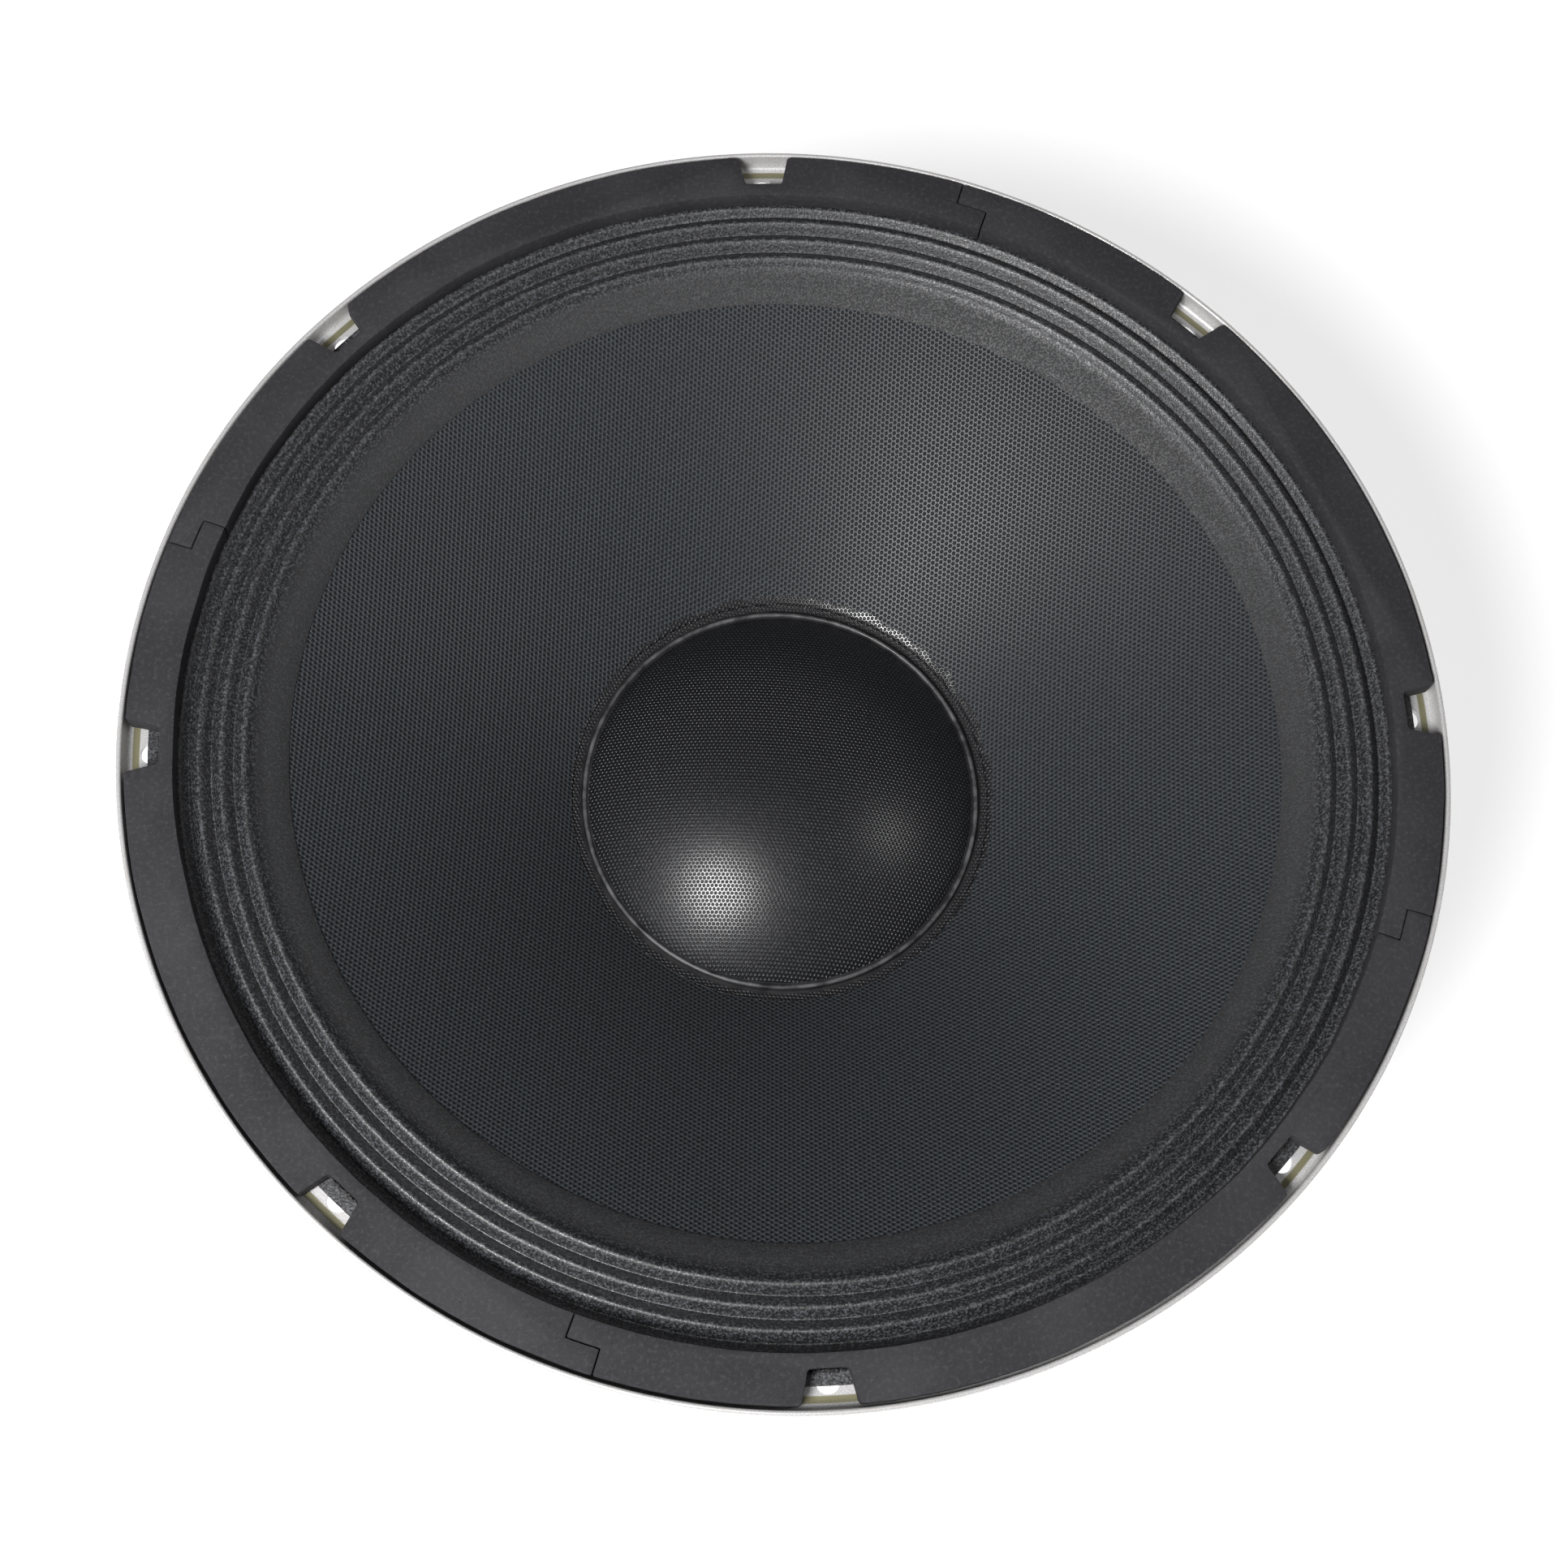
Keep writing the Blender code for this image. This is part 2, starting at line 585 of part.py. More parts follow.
def build_motor():
    chamfer = PLATE_CHAMFER
    pole_top = TOP_PLATE_FRONT
    turned("t_yoke", [
        (POLE_RADIUS - chamfer, pole_top), (POLE_RADIUS, pole_top - chamfer),
        (POLE_RADIUS, BACK_PLATE), (BACK_PLATE_RADIUS - chamfer, BACK_PLATE),
        (BACK_PLATE_RADIUS, BACK_PLATE - chamfer), (BACK_PLATE_RADIUS, chamfer),
        (BACK_PLATE_RADIUS - chamfer, 0.0), (SCREEN_RADIUS + GAP, 0.0),
        (SCREEN_RADIUS + GAP, SCREEN_RECESS), (VENT_RADIUS, SCREEN_RECESS),
        (VENT_RADIUS, pole_top)], "plated_steel")
    turned("vent_screen", [(0.0, SCREEN_SPAN[1]), (SCREEN_RADIUS, SCREEN_SPAN[1]),
                           (SCREEN_RADIUS, SCREEN_SPAN[0]), (0.0, SCREEN_SPAN[0])],
           "plated_steel", solid=True)
    low = BACK_PLATE + GAP
    high = TOP_PLATE_FRONT - TOP_PLATE - GAP
    turned("magnet", [
        (MAGNET_RADIUS - MAGNET_CHAMFER, high), (MAGNET_RADIUS, high - MAGNET_CHAMFER),
        (MAGNET_RADIUS, low + MAGNET_CHAMFER), (MAGNET_RADIUS - MAGNET_CHAMFER, low),
        (MAGNET_BORE, low), (MAGNET_BORE, high)], "ferrite")
    top_plate = turned("top_plate", [
        (TOP_PLATE_RADIUS, TOP_PLATE_FRONT), (TOP_PLATE_RADIUS, TOP_PLATE_FRONT - TOP_PLATE),
        (GAP_OUTER, TOP_PLATE_FRONT - TOP_PLATE), (GAP_OUTER, TOP_PLATE_FRONT)], "plated_steel")
    shank_end = TOP_PLATE_FRONT - SCREW_REACH
    cut(top_plate, bars("tapped_hole_cutter", ring_places(SCREWS, SCREW_CIRCLE_RADIUS),
                        SCREW_SHANK + GAP, shank_end - GAP, TOP_PLATE_FRONT + OVERCUT))
    for number, (x, y) in enumerate(ring_places(SCREWS, SCREW_CIRCLE_RADIUS), start=1):
        seat = CUP_FLOOR + GAP
        head_top = seat + SCREW_HEAD_HEIGHT
        screw = turned(f"basket_screw_{number}", [
            (0.0, head_top), (SCREW_CROWN_RADIUS, head_top - 0.2 * MM),
            (SCREW_HEAD, seat + SCREW_HEAD_SIDE),
            (SCREW_HEAD, seat), (SCREW_SHANK, seat), (SCREW_SHANK, shank_end), (0.0, shank_end)],
            "plated_steel", steps=SMALL_SEGMENTS, solid=True)
        screw.location = (x, y, 0.0)


# --- Terminals --------------------------------------------------------------------------------------

def lug_corners(side, clearance, low):
    """The lowest and highest corners of a lug, or of its slot with a clearance."""
    half_thickness = LUG[0] / 2 + clearance
    half_width = LUG[1] / 2 + clearance
    return ((side * LUG_X - half_thickness, BUTTON_Y - half_width, low),
            (side * LUG_X + half_thickness, BUTTON_Y + half_width, LUG_TOP))


def build_terminal_housing():
    low = FACEPLATE_REAR + FACEPLATE + GAP
    vertical_gap = GAP / math.cos(SIDE_ANGLE)
    outline = [
        (TERMINAL_NEAR, low), (TERMINAL_FAR, low),
        (TERMINAL_FAR, side_rear(TERMINAL_FAR) - vertical_gap),
        (TERMINAL_NEAR, side_rear(TERMINAL_NEAR) - vertical_gap)]
    housing = as_mesh(plate("terminal_housing", [outline], -TERMINAL_HALF_WIDTH, TERMINAL_HALF_WIDTH,
                            "moulded_black", rotation=(math.pi / 2, 0.0, math.pi / 2)))
    half_y = BUTTON_WIDTH / 2 + BUTTON_SLACK
    half_x = BUTTON_FLANGE / 2 + BUTTON_SLACK
    cavities = [((side * BUTTON_X - half_x, BUTTON_Y - half_y, low - OVERCUT),
                 (side * BUTTON_X + half_x, BUTTON_Y + half_y, CAVITY_TOP)) for side in (-1, 1)]
    cut(housing, boxes("button_cavity_cutter", cavities))
    slots = [lug_corners(side, GAP, LUG_SLOT_FLOOR) for side in (-1, 1)]
    cut(housing, boxes("lug_slot_cutter", slots))
    wire_places = [(-BUTTON_X, WIRE_HOLE_Y), (BUTTON_X, WIRE_HOLE_Y)]
    cut(housing, bars("wire_hole_cutter", wire_places, WIRE_HOLE_RADIUS, FACEPLATE_REAR - OVERCUT,
                      WIRE_HOLE_TOP))
    for number, y in enumerate(TERMINAL_SCREWS_Y, start=1):
        pilot = bars(f"pilot_hole_cutter_{number}", [(0.0, 0.0)], PILOT_HOLE,
                     -TERMINAL_SHANK_LENGTH - GAP, OVERCUT)
        place_on_spoke(pilot, y)
        cut(housing, pilot)

    faceplate = boxes("terminal_faceplate", [(
        (-TERMINAL_HALF_WIDTH, TERMINAL_NEAR, FACEPLATE_REAR),
        (TERMINAL_HALF_WIDTH, TERMINAL_FAR, FACEPLATE_REAR + FACEPLATE))], "moulded_black")
    openings = [((side * BUTTON_X - half_y, BUTTON_Y - half_y, FACEPLATE_REAR - OVERCUT),
                 (side * BUTTON_X + half_y, BUTTON_Y + half_y, low + OVERCUT)) for side in (-1, 1)]
    cut(faceplate, boxes("button_opening_cutter", openings))
    cut(faceplate, bars("face_wire_hole_cutter", wire_places, WIRE_HOLE_RADIUS,
                        FACEPLATE_REAR - OVERCUT, low + OVERCUT))


def build_terminal_button(side, colour, material):
    """A push button with a retaining flange, its return spring and its solder lug."""
    low = FACEPLATE_REAR - BUTTON_PROUD
    flange_low = FACEPLATE_REAR + FACEPLATE + 2 * GAP
    flange_high = flange_low + BUTTON_FLANGE_HEIGHT
    half = BUTTON_WIDTH / 2
    half_flange = BUTTON_FLANGE / 2
    outline = [(-half, 0.0), (half, 0.0), (half, flange_low - low), (half_flange, flange_low - low),
               (half_flange, flange_high - low), (-half_flange, flange_high - low),
               (-half_flange, flange_low - low), (-half, flange_low - low)]
    plate(f"terminal_button_{colour}", [outline], -half, half, material,
          rotation=(math.pi / 2, 0.0, 0.0), location=(side * BUTTON_X, BUTTON_Y, low))

    bottom = flange_high + GAP + SPRING_WIRE
    top = CAVITY_TOP - GAP - SPRING_WIRE
    per_turn = 9    # points
    steps = SPRING_TURNS * per_turn
    helix = [Vector((SPRING_RADIUS * math.cos(2 * math.pi * i / per_turn),
                     SPRING_RADIUS * math.sin(2 * math.pi * i / per_turn),
                     (top - bottom) * i / steps)) for i in range(steps + 1)]
    tube(f"button_spring_{colour}", helix, SPRING_WIRE, "plated_steel", bevel_resolution=1,
         location=(side * BUTTON_X, BUTTON_Y, bottom))

    boxes(f"terminal_lug_{colour}", [lug_corners(side, 0.0, LUG_SLOT_FLOOR + GAP)], "tinned_brass")


def build_terminal_screws():
    for number, y in enumerate(TERMINAL_SCREWS_Y, start=1):
        screw = turned(f"terminal_screw_{number}", [
            (0.0, TERMINAL_HEAD_HEIGHT), (1.8 * MM, TERMINAL_HEAD_HEIGHT - GAP),
            (TERMINAL_HEAD, 3 * GAP), (TERMINAL_HEAD, GAP), (TERMINAL_SHANK, GAP),
            (TERMINAL_SHANK, 2 * GAP - TERMINAL_SHANK_LENGTH), (0.0, -TERMINAL_SHANK_LENGTH)],
            "plated_steel", steps=SMALL_SEGMENTS, solid=True)
        place_on_spoke(screw, y)


def build_lead(side, colour):
    """A braided lead from the solder lug over the spider to the coil's collar."""
    route_mm = [(16.2, 133.0, 89.0), (16.2, 124.0, 90.0), (15.8, 110.0, 88.5), (14.8, 94.0, 81.0),
                (13.4, 76.0, 70.5), (12.0, 59.0, 62.5), (10.6, 46.5, 58.8), (9.52, 38.18, 58.0)]
    points = [Vector((side * x, y, z)) * MM for x, y, z in route_mm]
    tube(f"tinsel_lead_{colour}", smooth_route(points, 3), LEAD_RADIUS, "copper")


# --- Assembly ---------------------------------------------------------------------------------------

clear_scene()
parts = new_collection("woofer_driver")
cutters = new_collection("cutters")
materials = {}

build_basket()
build_gasket()
build_surround()
build_spider()
build_motor()

cone_axis = bpy.data.objects.new("cone_axis", None)
parts.objects.link(cone_axis)
for moving in [build_cone(), build_dust_cap()] + build_voice_coil():
    moving.parent = cone_axis

build_terminal_housing()
build_terminal_screws()
for which_side, which_colour, which_material in ((-1, "black", "moulded_black"),
                                                 (1, "red", "moulded_red")):
    build_terminal_button(which_side, which_colour, which_material)
    build_lead(which_side, which_colour)
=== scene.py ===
"""The woofer driver's looks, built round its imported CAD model.

Metres, +Z up, in the CAD model's frame: the origin is the centre of the back plate's rear face and
+Z runs out of the front. Every shape sits where its CAD node sits.
"""

import math

import bmesh
import bpy
import numpy as np
from mathutils import Matrix, Vector


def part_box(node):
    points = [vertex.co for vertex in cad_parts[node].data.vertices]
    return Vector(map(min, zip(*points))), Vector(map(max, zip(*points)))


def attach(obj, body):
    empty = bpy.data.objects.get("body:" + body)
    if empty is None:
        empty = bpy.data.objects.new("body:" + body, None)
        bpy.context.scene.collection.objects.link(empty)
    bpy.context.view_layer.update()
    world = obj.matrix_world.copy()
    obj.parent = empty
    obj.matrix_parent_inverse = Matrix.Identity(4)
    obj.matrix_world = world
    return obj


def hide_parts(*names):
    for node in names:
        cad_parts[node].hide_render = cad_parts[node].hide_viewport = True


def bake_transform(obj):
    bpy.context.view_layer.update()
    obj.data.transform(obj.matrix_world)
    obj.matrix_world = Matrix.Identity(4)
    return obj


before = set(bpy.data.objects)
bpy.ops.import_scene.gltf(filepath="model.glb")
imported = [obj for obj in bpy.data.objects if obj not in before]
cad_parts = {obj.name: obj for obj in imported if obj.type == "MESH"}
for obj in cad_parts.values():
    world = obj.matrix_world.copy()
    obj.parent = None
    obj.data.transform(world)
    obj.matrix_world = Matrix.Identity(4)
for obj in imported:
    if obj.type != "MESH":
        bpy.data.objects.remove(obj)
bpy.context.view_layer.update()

MM = 0.001
ROOT = "root"
CONE = "cone_assembly"
GAP = 0.3 * MM

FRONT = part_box("gasket_segment_1")[1].z
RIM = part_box("basket")[1].x
SHEET = 1.6 * MM
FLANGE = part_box("gasket_segment_1")[0].z - 1.1 * MM
HOLE_CIRCLE = 185.0 * MM
HOLE_RADIUS = 3.3 * MM
HOLES = 8
GASKET_OUTER = 191.7 * MM
GASKET_INNER = 177.9 * MM
GASKET_STEP = 184.6 * MM
SEAM_OUTER = math.radians(-19.25)     # where a segment starts, from its first notch
SEAM_INNER = math.radians(-22.25)
NOTCH_DEPTH = 9.7 * MM
NOTCH_MOUTH = 15.9 * MM
NOTCH_FOOT = 11.4 * MM
NOTCH_FLARE = 2.2 * MM
LIP_TOP = FRONT - 2.2 * MM            # centre of the lip's rounded top
THROAT = 176.3 * MM                   # inside of the wall below the flange
SIDE_TOP = (172.0 * MM, 117.0 * MM)
SIDE_FOOT = (91.0 * MM, 52.0 * MM)
SIDE_SLOPE = (SIDE_TOP[1] - SIDE_FOOT[1]) / (SIDE_TOP[0] - SIDE_FOOT[0])
SIDE_ANGLE = math.atan(SIDE_SLOPE)
SPOKES = 8
SPOKE_HALF_WIDTH = 14.0 * MM
WINDOW = (100.0 * MM, 162.0 * MM)
WINDOW_CORNER = 9.0 * MM
RIB_HEIGHT = 1.8 * MM
RIB_HALF_WIDTH = 7.5 * MM
RIB_SPAN = (99.0 * MM, 163.0 * MM)
LEDGE = 50.7 * MM
SCREWS = 6
SCREW_CIRCLE = 58.0 * MM
CUP_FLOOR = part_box("top_plate")[1].z + GAP + SHEET
CLOTH = 0.6 * MM
FLAP_EDGE = 147.0 * MM
CREST = 171.6 * MM
CREST_TOP = FRONT - 5.3 * MM
VALLEY_TOP = FRONT - 8.4 * MM
OUTER_VALLEY_TOP = FRONT - 8.8 * MM
VALLEY_RISE = 0.1 * MM                # each valley above the one outside it
ROLLS = 3
PITCH = 6.35 * MM
PAPER = 1.2 * MM
CONE_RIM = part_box("cone")[1].x
CONE_EDGE = FRONT - 14.3 * MM         # the cone's face at the flap's inner edge
CONE_SLOPE = 0.55
NECK = 39.2 * MM
CAP_RADIUS = 62.0 * MM
CAP_RIM = FRONT - 64.2 * MM
CAP_HEIGHT = 22.0 * MM
CAP_FLANGE = 65.6 * MM
CAP_BEAD = 0.8 * MM
CAP_PAPER = 0.8 * MM
FORMER_BORE = 37.7 * MM
WRAP_BORE = 38.6 * MM
SPIDER_OUTER = 87.0 * MM
SPIDER_WAVES = 7
VENT = 14.0 * MM
POLE = 37.1 * MM
BACK_PLATE = 10.0 * MM
SCREEN_SEAT = (18.3 * MM, 2.2 * MM)
MAGNET_BORE = 46.0 * MM
TOP_PLATE_BORE = 40.1 * MM
SCREEN_RADIUS = 17.9 * MM
SCREEN_HOLE = 0.85 * MM
SCREEN_PITCH = 2.6 * MM
TERMINAL_SCREWS_Y = (118.0 * MM, 143.0 * MM)
BUTTON_HALF = 4.3 * MM
BUTTON_FLANGE_HALF = 5.0 * MM
BUTTON_FLANGE_LOW = 60.6 * MM
SPRING_WIRE = 0.35 * MM
SPRING_RADIUS = 2.6 * MM
SPRING_TURNS = 4
SHARP = math.radians(35)


# --- Shapes -----------------------------------------------------------------------------------------

def link(name, data):
    item = bpy.data.objects.new(name, data)
    bpy.context.scene.collection.objects.link(item)
    return item


def final_mesh(item):
    """The mesh an object has with its modifiers applied."""
    bpy.context.view_layer.update()
    evaluated = item.evaluated_get(bpy.context.evaluated_depsgraph_get())
    return bpy.data.meshes.new_from_object(evaluated)


def add_mesh(name, verts, faces, body, material, node, slot, sharp=SHARP):
    """A closed, smooth-shaded piece. It rides on its body and stands for its node, if they're named."""
    mesh = bpy.data.meshes.new(name)
    mesh.from_pydata([tuple(v) for v in verts], [], faces)
    return add_piece(name, mesh, body, material, node, sharp)


def add_piece(name, mesh, body, material, node, sharp=SHARP):
    mesh.validate()
    shape = bmesh.new()
    shape.from_mesh(mesh)
    bmesh.ops.recalc_face_normals(shape, faces=shape.faces)
    shape.to_mesh(mesh)
    shape.free()
    mesh.shade_smooth()
    mesh.set_sharp_from_angle(angle=sharp)
    mesh.materials.clear()
    mesh.materials.append(material)
    item = link(name, mesh)
    if body:
        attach(item, body)
    if node:
        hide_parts(node)
    return item


def rounded(points, steps=5):
    """(x, y, corner radius) points to a line with its corners rounded; the line isn't closed."""
    line = [points[0][:2]]
    for before, here, after in zip(points, points[1:], points[2:]):
        radius = here[2]
        p = Vector(here[:2])
        a = Vector(before[:2]) - p
        b = Vector(after[:2]) - p
        turn = math.pi - a.angle(b)
        reach = radius * math.tan(turn / 2)
        if radius <= 0 or turn < 0.01:
            line.append(tuple(p))
            continue
        reach = min(reach, a.length * 0.49, b.length * 0.49)
        start = p + a.normalized() * reach
        end = p + b.normalized() * reach
        count = max(2, min(steps, int(turn / 0.2) + 1))
        for i in range(count + 1):
            t = i / count
            line.append(tuple(start * (1 - t) ** 2 + p * 2 * t * (1 - t) + end * t ** 2))
    line.append(points[-1][:2])
    return line


def offset(line, distance):
    """The line moved sideways, with mitred corners."""
    line = np.array(line)
    legs = np.diff(line, axis=0)
    legs /= np.linalg.norm(legs, axis=1)[:, None]
    normals = np.stack([-legs[:, 1], legs[:, 0]], axis=1)
    first = np.vstack([normals[:1], normals])
    last = np.vstack([normals, normals[-1:]])
    middle = first + last
    middle /= np.linalg.norm(middle, axis=1)[:, None]
    return line + middle * (distance / (middle * first).sum(axis=1))[:, None]


def loft(rings, closed=False):
    """Vertices and faces through rings of equal length; open ends get caps."""
    count = len(rings[0])
    verts = [tuple(p) for ring in rings for p in ring]
    total = len(rings)
    faces = []
    for i in range(total if closed else total - 1):
        low = i * count
        high = (i + 1) % total * count
        for j in range(count):
            k = (j + 1) % count
            faces.append((low + j, low + k, high + k, high + j))
    if not closed:
        faces.append(tuple(range(count)))
        faces.append(tuple(range((total - 1) * count, total * count)))
    return verts, faces


def around(steps):
    return np.arange(steps) * 2 * math.pi / steps


def ring_at(radius, height, angles, x=0.0, y=0.0):
    """Points round an upright axis; the radius and height may vary with the angle."""
    return np.stack([x + radius * np.cos(angles), y + radius * np.sin(angles),
                     np.broadcast_to(height, angles.shape)], axis=1)


def turned(name, outline, body, material, node, slot, steps=192, solid=False):
    """A turned piece from (radius, height) points. A solid's outline starts and ends near the axis."""
    angles = around(steps)
    rings = [ring_at(radius, height, angles) for radius, height in outline]
    return add_mesh(name, *loft(rings, not solid), body, material, node, slot)


def prism(name, outline, low, high, bevel, material, node, matrix=None):
    """A flat outline given height, with bevelled edges."""
    count = len(outline)
    verts = [(x, y, low) for x, y in outline] + [(x, y, high) for x, y in outline]
    faces = [tuple(range(count)), tuple(range(count, 2 * count))]
    faces += [(i, (i + 1) % count, count + (i + 1) % count, count + i) for i in range(count)]
    mesh = bpy.data.meshes.new(name)
    mesh.from_pydata(verts, [], faces)
    shape = bmesh.new()
    shape.from_mesh(mesh)
    bmesh.ops.recalc_face_normals(shape, faces=shape.faces)
    rims = [edge for edge in shape.edges if edge.calc_face_angle(0) > math.radians(50)]
    bmesh.ops.bevel(shape, geom=rims, offset=bevel, segments=2, affect="EDGES", profile=0.5,
                    clamp_overlap=True)
    if matrix:
        bmesh.ops.transform(shape, matrix=matrix, verts=shape.verts)
    shape.to_mesh(mesh)
    shape.free()
    return add_piece(name, mesh, ROOT, material, node)


def carry(points, across):
    """Each point of a line with two directions across it, which twist as little as they can."""
    places = []
    for i, p in enumerate(points):
        along = (points[min(i + 1, len(points) - 1)] - points[max(i - 1, 0)]).normalized()
        across = (across - along * across.dot(along)).normalized()
        places.append((p, across, along.cross(across)))
    return places


def wire_ring(centre, across, other, radius, sides):
    turns = around(sides)
    return [centre + (across * math.cos(a) + other * math.sin(a)) * radius for a in turns]


def polar(radius, angle):
    return (radius * math.cos(angle), radius * math.sin(angle))


def spread(count, radius):
    """Places at equal angles on a circle, from +X."""
    return [polar(radius, 2 * math.pi / count * k) for k in range(count)]


def bore(item, places, radius, low, high, steps=32):
    """Cut round holes along Z through a piece."""
    shape = bmesh.new()
    for x, y in places:
        bmesh.ops.create_cone(shape, cap_ends=True, segments=steps, radius1=radius, radius2=radius,
                              depth=high - low, matrix=Matrix.Translation((x, y, (low + high) / 2)))
    subtract(item, shape)


def subtract(item, shape):
    """Cut a bmesh, which is then freed, from a piece."""
    mesh = bpy.data.meshes.new("cutter")
    shape.to_mesh(mesh)
    shape.free()
    cutter = link("cutter", mesh)
    boolean = item.modifiers.new("Cut", "BOOLEAN")
    boolean.operation = "DIFFERENCE"
    boolean.solver = "EXACT"
    boolean.object = cutter
    made = final_mesh(item)
    item.modifiers.clear()
    made.set_sharp_from_angle(angle=SHARP)
    item.data = made
    bpy.data.objects.remove(cutter, do_unlink=True)


def wobble(values, scale, seed):
    """Smooth repeatable noise, from -1 to 1, of a list of angles."""
    values = np.asarray(values)
    random = np.random.default_rng(seed)
    total = np.zeros_like(values, dtype=float)
    weight = 0.0
    for octave in range(4):
        count = int(scale * 2 ** octave)
        phase = random.uniform(0, 2 * math.pi, 3)
        for shift, turns in zip(phase, (count, count + 3, count + 7)):
            total += np.cos(values * turns + shift) / 2 ** octave
        weight += 1.6 / 2 ** octave
    return total / weight


# --- Materials --------------------------------------------------------------------------------------

class Nodes:
    """Short calls for building one material's nodes."""

    def __init__(self, name, colour, roughness, metallic=0.0, specular=0.5):
        self.material = bpy.data.materials.new(name)
        self.material.use_nodes = True
        self.tree = self.material.node_tree
        self.shader = self.tree.nodes["Principled BSDF"]
        for socket, value in (("Base Color", (*colour, 1.0)), ("Roughness", roughness),
                              ("Metallic", metallic), ("Specular IOR Level", specular)):
            self.shader.inputs[socket].default_value = value
        self.place = self.tree.nodes.new("ShaderNodeTexCoord").outputs["Object"]

    def put(self, socket, value):
        if isinstance(value, bpy.types.NodeSocket):
            self.tree.links.new(value, socket)
        else:
            socket.default_value = value

    def put_all(self, node, values):
        for socket, value in zip(node.inputs, values):
            self.put(socket, value)

    def add(self, kind, **inputs):
        node = self.tree.nodes.new(kind)
        for name, value in inputs.items():
            self.put(node.inputs[name.replace("_", " ")], value)
        return node

    def maths(self, operation, *values):
        node = self.tree.nodes.new("ShaderNodeMath")
        node.operation = operation
        self.put_all(node, values)
        return node.outputs[0]

    def vector(self, operation, *values):
        node = self.tree.nodes.new("ShaderNodeVectorMath")
        node.operation = operation
        self.put_all(node, values)
        return node.outputs["Value" if operation in ("LENGTH", "DISTANCE", "DOT_PRODUCT") else "Vector"]

    def noise(self, scale, detail=3.0, roughness=0.55, place=None, distortion=0.0):
        node = self.add("ShaderNodeTexNoise", Scale=scale, Detail=detail, Roughness=roughness,
                        Distortion=distortion, Vector=place or self.place)
        return node.outputs["Fac"]

    def cells(self, scale):
        return self.add("ShaderNodeTexVoronoi", Scale=scale, Vector=self.place).outputs["Distance"]

    def weave(self, thread, jitter=None):
        """Two sets of crossing threads: 1 on a thread, falling to 0 between them."""
        threads = []
        for direction in ((1.0, 0.0, 0.0), (0.0, 1.0, 0.0)):
            along = self.vector("DOT_PRODUCT", self.place, direction)
            if jitter is not None:
                along = self.maths("ADD", along, jitter)
            phase = self.maths("MULTIPLY", along, 2 * math.pi / thread)
            threads.append(self.maths("ABSOLUTE", self.maths("SINE", phase)))
        return self.maths("MAXIMUM", *threads)

    def remap(self, value, low=0.3, high=0.7, to_low=0.0, to_high=1.0):
        node = self.tree.nodes.new("ShaderNodeMapRange")
        node.interpolation_type = "SMOOTHSTEP"
        self.put_all(node, (value, low, high, to_low, to_high))
        return node.outputs[0]

    def mix(self, amount, first, second):
        node = self.tree.nodes.new("ShaderNodeMix")
        node.data_type = "RGBA"
        self.put(node.inputs["Factor"], amount)
        self.put(node.inputs["A"], (*first, 1.0) if isinstance(first, tuple) else first)
        self.put(node.inputs["B"], (*second, 1.0) if isinstance(second, tuple) else second)
        return node.outputs["Result"]

    def colour(self, value):
        self.put(self.shader.inputs["Base Color"], value)

    def roughness(self, value):
        self.put(self.shader.inputs["Roughness"], value)

    def shades(self, value, first, second):
        self.colour(self.mix(self.remap(value), first, second))

    def gloss(self, value, first, second):
        self.roughness(self.remap(value, to_low=first, to_high=second))

    def bump(self, height, distance, strength, under=None):
        node = self.add("ShaderNodeBump", Height=height, Distance=distance, Strength=strength)
        if under is not None:
            self.put(node.inputs["Normal"], under)
        return node.outputs["Normal"]

    def normal(self, value):
        self.put(self.shader.inputs["Normal"], value)

    def flat(self, place):
        return self.vector("MULTIPLY", place, (1.0, 1.0, 0.0))

    def radius(self):
        """Distance from the driver's axis."""
        return self.vector("LENGTH", self.flat(self.place))

    def dots(self, pitch, turn):
        """A hexagonal pattern of round dots: the distance from the nearest dot's centre over the pitch."""
        place = self.vector("SCALE", self.flat(self.place))
        place.node.inputs["Scale"].default_value = 1.0 / pitch
        place = self.add("ShaderNodeMapping", Vector=place, Rotation=(0.0, 0.0, -turn)).outputs[0]
        cell = (1.0, math.sqrt(3.0), 1.0)
        half = (0.5, math.sqrt(3.0) / 2, 0.5)
        near = []
        for shift in (400.0, 400.5):    # keeps every place positive
            moved = self.vector("ADD", place, (shift, shift * math.sqrt(3.0), 0.0))
            wrapped = self.vector("MODULO", moved, cell)
            centred = self.vector("SUBTRACT", wrapped, half)
            near.append(self.vector("LENGTH", self.flat(centred)))
        return self.maths("MINIMUM", *near)


def painted_steel():
    m = Nodes("silver_paint", (0.6, 0.6, 0.6), 0.4, metallic=0.35)
    grain = m.noise(2600.0, 2.0)
    patches = m.noise(60.0, 3.0)
    shade = m.remap(grain, 0.35, 0.7)
    tone = m.mix(shade, (0.56, 0.55, 0.55), (0.78, 0.77, 0.77))
    dull = m.remap(patches, 0.52, 0.72, 0.0, 0.35)
    tone = m.mix(dull, tone, (0.55, 0.54, 0.50))
    away = m.radius()
    shadowed = m.maths("MULTIPLY", m.remap(away, 188.4 * MM, 188.9 * MM),
                       m.remap(away, 190.9 * MM, 190.4 * MM))
    m.colour(m.mix(m.maths("MULTIPLY", shadowed, 0.9), tone, (0.20, 0.185, 0.085)))
    m.gloss(grain, 0.5, 0.34)
    m.normal(m.bump(m.noise(1500.0, 3.0), 0.08 * MM, 0.7))
    return m.material


